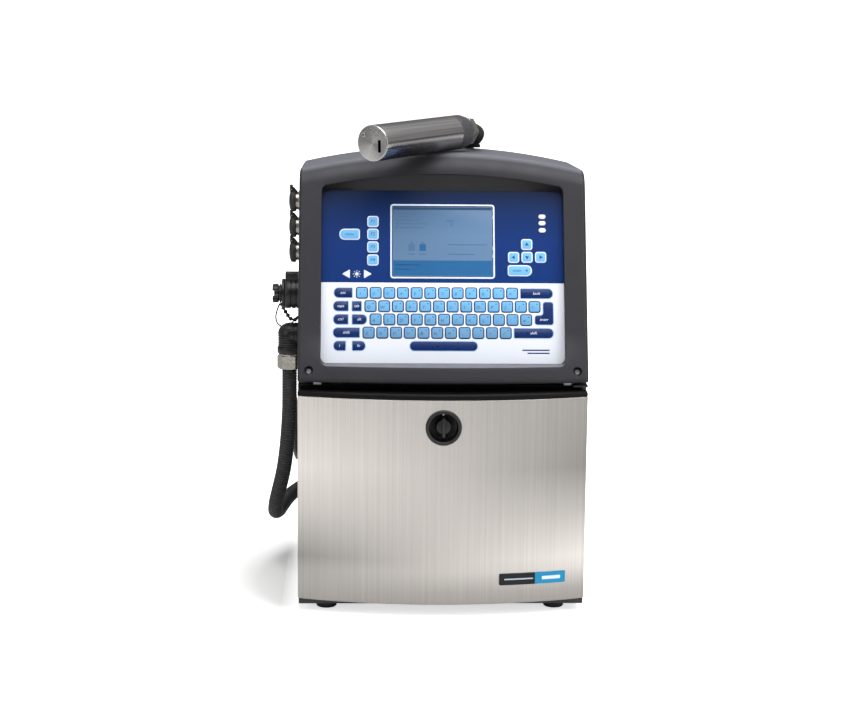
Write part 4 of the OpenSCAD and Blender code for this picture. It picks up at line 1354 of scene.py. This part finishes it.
def hex_bar(form, corner, length, bore=0.0, low=0.0, chamfer=1.4):
    """A hexagonal nut about Z with turned chamfers at both ends, in millimetres."""
    steps = 72
    flat_r = corner * math.cos(math.radians(30))

    def ring(h, limit):
        points = []
        for k in range(steps):
            a = 2 * math.pi * k / steps
            r = min(flat_r / math.cos((a % (math.pi / 3)) - math.pi / 6), limit)
            points.append((r * math.cos(a), r * math.sin(a), h))
        return form.loop(mm(points))

    limits = [flat_r * 0.97 + (corner - flat_r * 0.97) * k / 4 for k in range(5)]
    rise = chamfer * 0.55
    rows = [ring(low + rise * k / 4, limits[k]) for k in range(5)]
    rows += [ring(low + length - rise * k / 4, limits[k]) for k in range(4, -1, -1)]
    if bore:
        inner = [form.level(circle(bore * MM, steps), h * MM) for h in (low + length, low)]
        form.rows(rows + inner + rows[:1])
    else:
        form.capped(rows)


def sockets():
    form = Form()
    for name in SOCKETS:
        z = joints["socket_cap_%s_hinge" % name]["pos_m"][2] - CAP_DROP
        place = axis_matrix((WALL_X, FITTING_Y, z), OUTWARD, (0, 1, 0))
        form.place = place
        form.ring([(6.0, -10), (8.0, -10), (8.0, -0.2), (12.2, -0.2), (12.5, 0.3), (12.5, 2.4), (12.0, 3.0),
                   (11.0, 3.1), (11.0, 4.4), (10.4, 4.7), (10.4, 5.2), (11.0, 5.5), (11.0, 6.6), (10.4, 6.9),
                   (10.4, 7.3), (11.0, 7.6), (11.0, 8.5), (10.6, 9.0), (6.4, 9.0), (6.0, 8.6)], 48)
        # hinge lugs and their pin
        drop = CAP_DROP / MM
        lug = rounded([(1, drop - 8), (12.6, drop - 8), (14, drop + 1.6), (9, drop + 1.8)], 1.0)
        for y in (-6, 6):
            form.place = axis_matrix((WALL_X, FITTING_Y + y * MM, z), (0, 1, 0), (-1, 0, 0))
            form.slab(mm(lug), -0.9 * MM, 0.9 * MM, 1, 0.2 * MM)
        form.place = axis_matrix((WALL_X - 12 * MM, FITTING_Y - 7.6 * MM, z + CAP_DROP), (0, 1, 0))
        form.turned([(0, 0), (1.0, 0.2), (1.0, 14.8), (0, 15.2)], 16)
        # contact block inside the barrel
        form.place = place
        form.turned([(0, 1.0), (5.9, 1.0), (5.9, -9), (0, -9)], 32, 1)
        for x, y in circle(3.6 * MM, 6):
            form.place = place @ Matrix.Translation((x, y, 0))
            form.turned([(0, 5.0), (0.6, 4.6), (0.6, 0.5), (0, 0.5)], 10)
    piece(form, "socket_barrels", "cabinet", [nickel, black_plastic], ["side_sockets"], 40)

    for name in SOCKETS:
        x, y, z = joints["socket_cap_%s_hinge" % name]["pos_m"]
        cap = "socket_cap_" + name
        form = Form(axis_matrix((x, y, z - CAP_DROP), OUTWARD, (0, 1, 0)))
        form.turned([(0, -1.5), (11.3, -1.5), (11.5, -5.4), (12.2, -5.8), (12.9, -5.3), (13.3, -3.0),
                     (13.1, -0.6), (12.3, 0.5), (11.0, 1.1), (10.6, 0.9), (10.2, 1.5), (7, 2.4), (3.5, 2.8),
                     (0, 2.9)], 48)
        form.place = axis_matrix((x, y - 4.4 * MM, z), (0, 1, 0))
        form.ring([(1.05, 0), (2.0, 0), (2.2, 0.3), (2.2, 8.5), (2.0, 8.8), (1.05, 8.8)], 24)
        form.place = axis_matrix((x, y - 4.0 * MM, z), (0, 1, 0), (-1, 0, 0))
        web = rounded([(-1.7, 1.2), (1.7, 1.2), (1.9, 5), (-1.9, 5)], 0.4, 3)
        form.slab(mm(web), 0, 8 * MM, 0, 0.3 * MM)
        piece(form, "socket_lid_" + name, cap, rubber, [cap], 45)


def network_port():
    _, y, z = joints["network_cap_turn"]["pos_m"]
    place = axis_matrix((WALL_X, y, z), OUTWARD, (0, 0, 1))
    form = Form(place)
    form.ring([(12.1, -8), (13, -8), (13, -0.1), (17.9, -0.1), (18.5, 0.5), (18.5, 5.4), (17.6, 5.9),
               (17.6, 7.0), (18.5, 7.5), (18.5, 11.2), (17.2, 11.7), (17.2, 12.8), (18.3, 13.3),
               (18.3, 18.9), (17.7, 19.9), (12.1, 20)], 64)
    # a square lug on top
    form.slab(mm(oblong(15, 26.5, -6, 6, [0.5, 2.5, 2.5, 0.5])), 4 * MM, 19.5 * MM, 0, 0.9 * MM)
    piece(form, "network_port_body", "cabinet", black_plastic, ["network_socket"], 40)

    form = Form(place)
    form.turned([(0, 9), (11.8, 9), (12, 20.2), (17.2, 20.3), (17.8, 20.8), (17.8, 23.0), (17.2, 23.6),
                 (10, 23.8), (9, 24.2), (9, 27.6), (0, 27.6)], 64)

    def flutes(h, r, deep):
        points = []
        for k in range(120):
            a = 2 * math.pi * k / 120
            reach = r - deep * max(0, math.cos(12 * a)) ** 2
            points.append((reach * math.cos(a), reach * math.sin(a), h))
        return form.loop(mm(points))

    form.capped([flutes(h, r, deep) for h, r, deep in
                 ((27.4, 9.8, 0), (27.8, 11, 0.5), (28.6, 11.5, 1), (34.0, 11.5, 1), (34.8, 11, 0.5),
                  (35.2, 9.8, 0), (35.2, 4, 0))])
    lid = piece(form, "network_lid", "network_cap", black_plastic, ["network_cap"], 40)
    groove = Form(place)
    groove.slab(mm(oblong(-4.4, 4.4, -14, 14)), 33.0 * MM, 38 * MM)
    carve(lid, groove)
    weigh_normals(lid)

    # a loose collar on the lid's neck, a beaded strap to the wall, and a thin cord that hangs in a loop
    form = Form(place)
    form.ring([(9.7, 24.8), (10.4, 24.5), (11.4, 24.8), (11.6, 25.6), (11.4, 26.4), (10.4, 26.7),
               (9.7, 26.4)], 40)
    form.place = Matrix.Translation((WALL_X, y, z))
    beads = smooth_path(mm([(-25.6, 0, -8), (-25.4, 0, -12), (-21, 0, -20.5), (-17.5, 0, -26), (-14, 0, -31),
                            (-8, 0, -32.5), (-2, 0, -29), (1, 0, -28.6)]), 0.6 * MM)
    form.swept(beads, lambda i: (2.0 + 0.75 * math.sin(i * 2 * math.pi / 9)) * MM, 14)
    cord = smooth_path(mm([(-25.4, -5, -8), (-26.5, -5.5, -12), (-29.5, -7, -20), (-31, -9, -28),
                           (-29, -12, -35), (-24.5, -14, -38.4), (-19, -15, -39.6), (-13.5, -15, -37.5),
                           (-9, -13, -31.5), (-5, -9, -27.5), (1, -6, -26.5)]), 1.2 * MM)
    form.swept(cord, 0.9 * MM, 12)
    # the eyelet that fixes both to the wall
    form.place = axis_matrix((WALL_X, y - 4 * MM, z - 28.4 * MM), OUTWARD, (0, 1, 0))
    form.turned([(0, 0), (3.4, 0), (3.6, 0.6), (3.2, 1.4), (1.8, 1.9), (0, 2.0)], 24)
    piece(form, "lid_tether", "cabinet", jacket, ["cap_tether"], 50)


nut_low, nut_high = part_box("gland_nut")
NUT_X = (nut_low.x + nut_high.x) / 2


def elbow():
    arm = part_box("umbilical_elbow")[1].z - 18 * MM
    form = Form(axis_matrix((WALL_X, FITTING_Y, arm), OUTWARD, (0, 0, 1)))
    form.turned([(0, -8), (8.9, -8), (8.9, 0), (17.5, 0), (18.0, 0.5), (18.0, 3.4), (17.4, 4.0), (14.6, 4.3),
                 (13.6, 5), (13.6, 6), (14.0, 6.4), (14.0, 8), (13.4, 8.5), (13.4, 9.6), (14.0, 10),
                 (14.0, 15), (0, 15)], 48)
    # the drop: a domed shoulder over moulded ribs, and a wider collar
    form.place = axis_matrix((NUT_X, FITTING_Y, nut_high.z), (0, 0, 1))
    drop = (arm - nut_high.z) / MM
    profile = [(0, 0.6), (13.4, 0.6), (14.4, 0.8), (14.8, 1.4), (14.8, 7.2), (14.4, 8.0), (13.2, 8.3)]
    rib = ((12.9, 0), (13.0, 0.8), (13.9, 1.1), (14.0, 1.5), (13.9, 2.2), (13.0, 2.5))
    h = 8.6
    while h + 2.6 < drop - 1:
        profile += [(r, h + up) for r, up in rib]
        h += 2.9
    for k in range(9):
        a = math.radians(90 * k / 8)
        profile.append((14 * math.cos(a) if k < 8 else 0, drop + 14 * math.sin(a) * 0.98))
    form.turned(profile, 56)
    piece(form, "umbilical_elbow_body", "cabinet", black_plastic, ["umbilical_elbow"], 40)

    form = Form(axis_matrix((NUT_X, FITTING_Y, nut_low.z), (0, 0, 1), (1, 0, 0)))
    tall = (nut_high.z - nut_low.z) / MM
    hex_bar(form, 15, tall - 1.6, 9.9, chamfer=2.4)
    form.ring([(9.9, tall - 1.9), (13.0, tall - 1.9), (13.4, tall - 1.5), (13.4, tall - 0.2), (13.0, tall),
               (9.9, tall)], 56)
    piece(form, "gland_nut_hex", "cabinet", nickel, ["gland_nut"], 34)


sockets()
network_port()
elbow()

# ---- printhead ----

along = -Vector(joints["printhead_cover_slide"]["axis"]).normalized()
reach = [along.dot(v.co) for v in nodes["printhead_cover"].data.vertices]
head_length = max(reach) - min(reach)
on_axis = sum(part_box("printhead_collar"), Vector()) / 2
# X runs to the right, Y down, and Z from the front face to the rear
head_place = axis_matrix(on_axis + along * (min(reach) - along.dot(on_axis)), along,
                         along.cross(Vector((0, 0, 1))))


def printhead():
    end = head_length / MM
    form = Form()
    profile = [(0, 0)]
    for k in range(7):
        a = math.radians(15 * k)
        profile.append((19.35 + 1.3 * math.sin(a), 1.3 - 1.3 * math.cos(a)))
    profile += [(20.65, end * f) for f in (0.1, 0.3, 0.5, 0.7, 0.9)]
    profile += [(20.65, end - 0.3), (20.4, end), (19.5, end), (19.45, end - 0.3), (19.45, 2.0), (0, 2.0)]
    form.turned(profile, 96)
    cover = piece(form, "printhead_tube", "printhead_cover", polished, ["printhead_cover"],
                  34, head_place)
    cutter = Form(head_place)
    cutter.slab(mm(oblong(7.7, 11.5, -4, 10, 0.9)), -2 * MM, 5 * MM)
    carve(cover, cutter, 34)
    cutter = Form(head_place @ Matrix.Translation((-11.9 * MM, -9.2 * MM, 0)))
    cutter.turned([(1.6, -2), (1.6, 5)], 24)
    carve(cover, cutter, 34)

    # dark collar with a step, two grooves and a seam bead
    form = Form()
    form.turned([(0, end + 0.1), (20.2, end + 0.1), (20.5, end + 0.6), (20.5, end + 5), (20.0, end + 5.4),
                 (20.0, end + 6.2), (20.5, end + 6.6), (20.5, end + 20), (20.1, end + 20.5),
                 (19.0, end + 21.0), (18.8, end + 27), (18.4, end + 27.8), (0, end + 27.9)], 72)
    for k in range(24):
        out = Matrix.Translation((20.35 * MM, 0, (end + 13.3) * MM))
        form.place = Matrix.Rotation(2 * math.pi * k / 24, 4, "Z") @ out
        form.slab(mm(oblong(-0.5, 0.35, -0.8, 0.8, 0.2, 2)), -5.4 * MM, 5.4 * MM)
    piece(form, "printhead_collar_ring", "printhead", dark_grey, ["printhead_collar"], 34,
          head_place)

    form = Form()
    form.turned([(0, end + 27.8), (16.6, end + 27.8), (17.2, end + 28.2), (17.2, end + 30.4),
                 (16.6, end + 30.8), (0, end + 30.8)], 64)
    hex_bar(form, 17.4, 11, low=end + 31, chamfer=2.4)
    piece(form, "printhead_hex_nut", "printhead", nickel, ["printhead_nut"], 34, head_place)


printhead()

# ---- umbilical and cable ----

clip_low, clip_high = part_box("hose_clip")
CLIP = Vector(((clip_low.x + clip_high.x) / 2, (clip_low.y + clip_high.y) / 2, clip_high.z - 12.5 * MM))
REAR = shell_high.y
HOSE_R = 9.3 * MM
RIB = 3.4 * MM
RIB_SHAPE = (0.0, 0.55, 0.95, 1.0, 0.95, 0.55)


def corrugated(places, name, node):
    """A conduit with round ribs along a smooth path."""
    form = Form()
    form.swept(smooth_path(places, RIB / len(RIB_SHAPE)),
               lambda i: HOSE_R - 0.8 * MM * (1 - RIB_SHAPE[i % len(RIB_SHAPE)]), 28)
    return piece(form, name, None, jacket, [node], 70)


def umbilical():
    # the hose passes down from the nut, round the cabinet's left rear corner and up to the hood
    drop = [(0, 0, 320), (0, 0, 272), (0, 0, 250), (-1, 2, 200), (-7, 10, 140), (-19, 33, 84), (-18, 67, 66)]
    places = [Vector((NUT_X, FITTING_Y, 0)) + Vector(p) for p in mm(drop)]
    rise = [(-90, 28, 174), (-26, 26, 280), (18, 25, 390)]
    places += [(WALL_X - 18 * MM, REAR + 4 * MM, 0.076), (WALL_X + 18 * MM, REAR + 28 * MM, 0.100)]
    places += [Vector((0, REAR, 0)) + Vector(p) for p in mm(rise)]
    places += [(CLIP.x, REAR + 25 * MM, 0.480), (CLIP.x, REAR + 23 * MM, 0.516),
               (CLIP.x, clip_high.y + 13.5 * MM, CLIP.z), CLIP, CLIP - Vector((0, 30 * MM, 0))]
    hose = corrugated(places, "umbilical_conduit", "umbilical_hose")
    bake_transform(hose)

    back = head_place @ Vector((0, 0, head_length + 42 * MM))
    lead = [(0, 30, 0), (0, 0, 0), (0, -11, 0), (5.5, -29, 2.5), (8, -49, 10)]
    places = [CLIP + Vector(p) for p in mm(lead)]
    places += [back + along * 9 * MM, back - along * 8 * MM, back - along * 20 * MM]
    tail = corrugated(places, "umbilical_tail", "umbilical_lead")
    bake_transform(tail)


def mains_cable():
    form = Form()
    gland = sum(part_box("power_gland"), Vector()) / 2
    # out of the gland and down the wall, then round the rear corner to the plug
    wall = [(-150, 0, 0), (-166, 0, 0), (-172, 0, 0), (-178, 0, 0), (-187, 0, -10), (-185, 0, -38)]
    places = [Vector((0, gland.y, gland.z)) + Vector(p) for p in mm(wall)]
    corner = [(-178, 2, 200), (-177, 22, 150), (-177, 50, 132)]
    places += [Vector((0, gland.y, 0)) + Vector(p) for p in mm(corner)]
    floor_run = [(-172, 9, 122), (-140, 9, 104), (-90, 9, 60), (-60, 14, 20), (-40, 20, 14), (-22, 20, 14),
                 (0, 20, 14)]
    places += [Vector((0, REAR, 0)) + Vector(p) for p in mm(floor_run)]
    form.swept(smooth_path(places, 2.5 * MM), 4.15 * MM, 24)
    # plug: strain relief ribs, a waisted body and flat pins
    plug = Vector((0, REAR + 20 * MM, 14 * MM))
    form.place = axis_matrix(plug - Vector((34 * MM, 0, 0)), (1, 0, 0))
    relief = [(0, -4)]
    for k in range(4):
        r, h = 5.2 + 0.5 * k, 3.2 * k - 4
        relief += [(r, h), (r + 0.2, h + 1.8), (r - 0.6, h + 2.1), (r - 0.6, h + 3.0)]
    form.turned(relief + [(6.4, 9), (0, 13)], 28)
    form.place = axis_matrix(plug, (1, 0, 0), (0, 1, 0))
    form.capped([form.level(mm(oblong(-w, w, -t, t, 4, 5)), h * MM) for h, w, t in
                 ((-22, 8, 8), (-21, 9.6, 10), (-14, 11.2, 12.4), (2, 11.2, 12.4), (8, 12, 13), (14, 12, 13),
                  (15.4, 11.2, 12.2), (15.6, 10, 11))])
    for y in (-7, 7):
        form.place = axis_matrix(plug + Vector((15 * MM, y * MM, 0)), (1, 0, 0), (0, 1, 0))
        form.slab(mm(oblong(-1.9, 1.9, -1.4, 1.4, 0.3, 3)), 0, 17.6 * MM, 1, 0.5 * MM)
    piece(form, "mains_cable_and_plug", "cabinet", [jacket, nickel], ["power_cable"], 45)


umbilical()
mains_cable()

# ---- feet ----

def feet():
    low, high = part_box("feet")
    bolts = frame["record"]["mounts"][0]["dims"]
    form = Form()
    radius = (high.x - low.x) / 2 - bolts["spacing_x_mm"] / 2 * MM
    r, tall = radius / MM, high.z / MM
    for x in (low.x + radius, high.x - radius):
        for y in (low.y + radius, high.y - radius):
            form.place = Matrix.Translation((x, y, 0))
            form.ring([(3.3, 0.6), (3.9, 0), (r - 0.9, 0), (r - 0.1, 0.8), (r, 1.6), (r - 0.2, tall * 0.55),
                       (r - 0.9, tall * 0.66), (r - 1.8, tall * 0.7), (r - 2, tall * 0.75), (r - 2, tall),
                       (3.3, tall)], 40)
    piece(form, "rubber_feet", "cabinet", rubber, ["feet"], 40)


feet()

# ---- CAD nodes that stay, each with its own finish ----

def screw_with_painted_shade(name, colour, rough, centre, radius, axis, black, shade_in_middle):
    """A bright screw with painted shade: near black in its socket, or round its head where it sits deep in the
    hood's cup.
    """
    s = Surface(name, colour, rough, 1.0)
    s.vary(colour, 0.12, 70)
    middle = s.near(centre, radius, tuple(axis))
    # painted shade: the dark part stands for the shade in the socket or the cup
    dark = middle if shade_in_middle else s.spread(middle, 1, 0, 0, 1)
    s.blacken(dark, black)
    s.give("Metallic", s.spread(middle, 1, 0, 0, 1) if shade_in_middle else middle)
    s.bump(s.noise(1200, 3.0), 0.00003, 0.2)
    return s.material


def cup_screw(name, x):
    return screw_with_painted_shade(name, srgb(170, 172, 176), 0.34, on_face(x, SCREW_S, 0), 2.6 * MM, press,
                          srgb(12, 12, 13), False)


turn = joints["cover_screw_turn"]
socket_screw = screw_with_painted_shade("socket_screw", srgb(186, 184, 182), 0.3, tuple(turn["pos_m"]), 1.3 * MM,
                              Vector(turn["axis"]).normalized(), srgb(9, 9, 9), True)
for material, names in (
        (shell_steel(), {"cabinet_shell": 0.5}), (steel, {"rear_cover": 0.4}),
        (black_paint, {"base_pan": 0.5, "door_hinge_brackets": 0.3}),
        (zinc, {"divider_shelf": 0.4, "cabinet_screws": 0.2, "hood_hinge_pins": 0.4, "power_supply": 0.5,
                "latch_cam": 0.4, "keypad_backplate": 0.3}),
        (grey_plastic, {"ink_module": 0.5}), (white_plastic, {"makeup_cartridge": 1.5, "ink_filter": 0.8}),
        (black_plastic, {"ink_cartridge": 1.5, "fan_frame": 0.5, "fan_rotor": 0.3, "power_gland": 0.6,
                         "hose_clip": 0.8}),
        (motor_paint, {"pump_motor": 0.8}), (cast, {"valve_manifold": 0.6, "printhead_deck": 0.3}),
        (tube_clear, {"ink_tubes": 0.2}), (board_green, {"main_board": 0.2}),
        (cup_screw("cup_screw_0", -SCREW_X), {"hood_screw_left": 0.3}),
        (cup_screw("cup_screw_1", SCREW_X), {"hood_screw_right": 0.3}),
        (socket_screw, {"cover_screw": 0.1})):
    for name, width in names.items():
        dress(name, material, width * MM)

# ---- camera, light and floor ----

SKY_TOP, SKY_SIDE, SKY_FRONT = 0.85, 0.3, 0.1
# how brightly the floor glows near the object, as painted light that pales its shadow
FLOOR_GLOW = 0.66


def camera():
    made = linked("camera", bpy.data.cameras.new("camera"))
    pitch, yaw, roll = math.radians(9.78), math.radians(2.09), math.radians(0.57)
    ahead = Vector((math.sin(yaw) * math.cos(pitch), math.cos(yaw) * math.cos(pitch), -math.sin(pitch)))
    level = Vector((math.cos(yaw), -math.sin(yaw), 0))
    upright = level.cross(ahead)
    right = level * math.cos(roll) + upright * math.sin(roll)
    above = upright * math.cos(roll) - level * math.sin(roll)
    made.matrix_world = Matrix((right, above, -ahead)).transposed().to_4x4()
    made.matrix_world.translation = Vector((-0.08957, -2.28629, 0.67649))
    made.data.lens = 78.8
    made.data.sensor_width = 36
    made.data.clip_end = 50
    bpy.context.scene.camera = made


def sky():
    """Seen directly it is white; as light it is bright overhead and at the sides and dim in front."""
    world = bpy.data.worlds.new("studio")
    bpy.context.scene.world = world
    world.use_nodes = True
    t = Nodes(world.node_tree)
    way = t.node("ShaderNodeSeparateXYZ", Vector=t.node("ShaderNodeTexCoord").outputs["Generated"]).outputs
    upward = t.maths("MULTIPLY", t.maths("MULTIPLY", way[2], way[2]), SKY_TOP)
    sideways = t.maths("MULTIPLY", t.maths("MULTIPLY", way[0], way[0]), SKY_SIDE)
    glow = t.maths("ADD", t.maths("ADD", upward, sideways), SKY_FRONT)
    seen = t.node("ShaderNodeLightPath").outputs["Is Camera Ray"]
    unseen = t.maths("MULTIPLY", t.maths("SUBTRACT", 1.0, seen), glow)
    back = t.tree.nodes["Background"]
    back.inputs["Color"].default_value = grey(1)
    t.link(t.maths("ADD", t.maths("MULTIPLY", seen, 1.2), unseen), back.inputs["Strength"])


def softbox(name, place, target, size, power):
    light = bpy.data.lights.new(name, "AREA")
    light.shape = "RECTANGLE"
    light.size, light.size_y = size
    light.energy = power
    linked(name, light).matrix_world = axis_matrix(place, Vector(place) - Vector(target))


def pale_floor():
    """A floor that glows to pure white away from the object, so that no horizon shows."""
    s = Surface("floor", grey(0.93), 0.8, Emission_Color=grey(1), Specular_IOR_Level=0.1)
    x, y, _ = s.parts()
    far = s.vector("LENGTH", s.node("ShaderNodeCombineXYZ", X=x, Y=y).outputs[0])[1]
    # painted light: near the object the floor glows, which washes out its shadow in front; the glow is cut to the
    # left, so the shadow is deeper there
    glow_cut_on_left = s.maths("MULTIPLY", s.spread(x, FLOOR_GLOW, 0, -0.19, -0.16), s.spread(far, 1, 0, 0.22, 0.36))
    level = s.maths("ADD", s.maths("SUBTRACT", FLOOR_GLOW, glow_cut_on_left), s.spread(far, 0, 0.6, 0.22, 0.55))
    seen = s.node("ShaderNodeLightPath").outputs["Is Camera Ray"]
    s.give("Emission Strength", s.maths("MULTIPLY", level, seen))
    s.bump(s.noise(30, 2.0), 0.0002, 0.05)
    form = Form()
    form.face(form.level(oblong(-8, 8, -6, 10), 0))
    floor = linked("floor", form.mesh("floor"))
    floor.data.materials.append(s.material)


bpy.context.scene.view_settings.view_transform = "Standard"
camera()
sky()
softbox("overhead", (0.3, -0.75, 2.2), (0, 0, 0.3), (2.2, 1.6), 50)
softbox("front_left", (-1.9, -2.1, 1.5), (0, 0, 0.3), (1.3, 1.6), 12)
softbox("front_right", (2.0, -1.8, 1.1), (0, 0, 0.2), (1.1, 1.4), 15)
pale_floor()
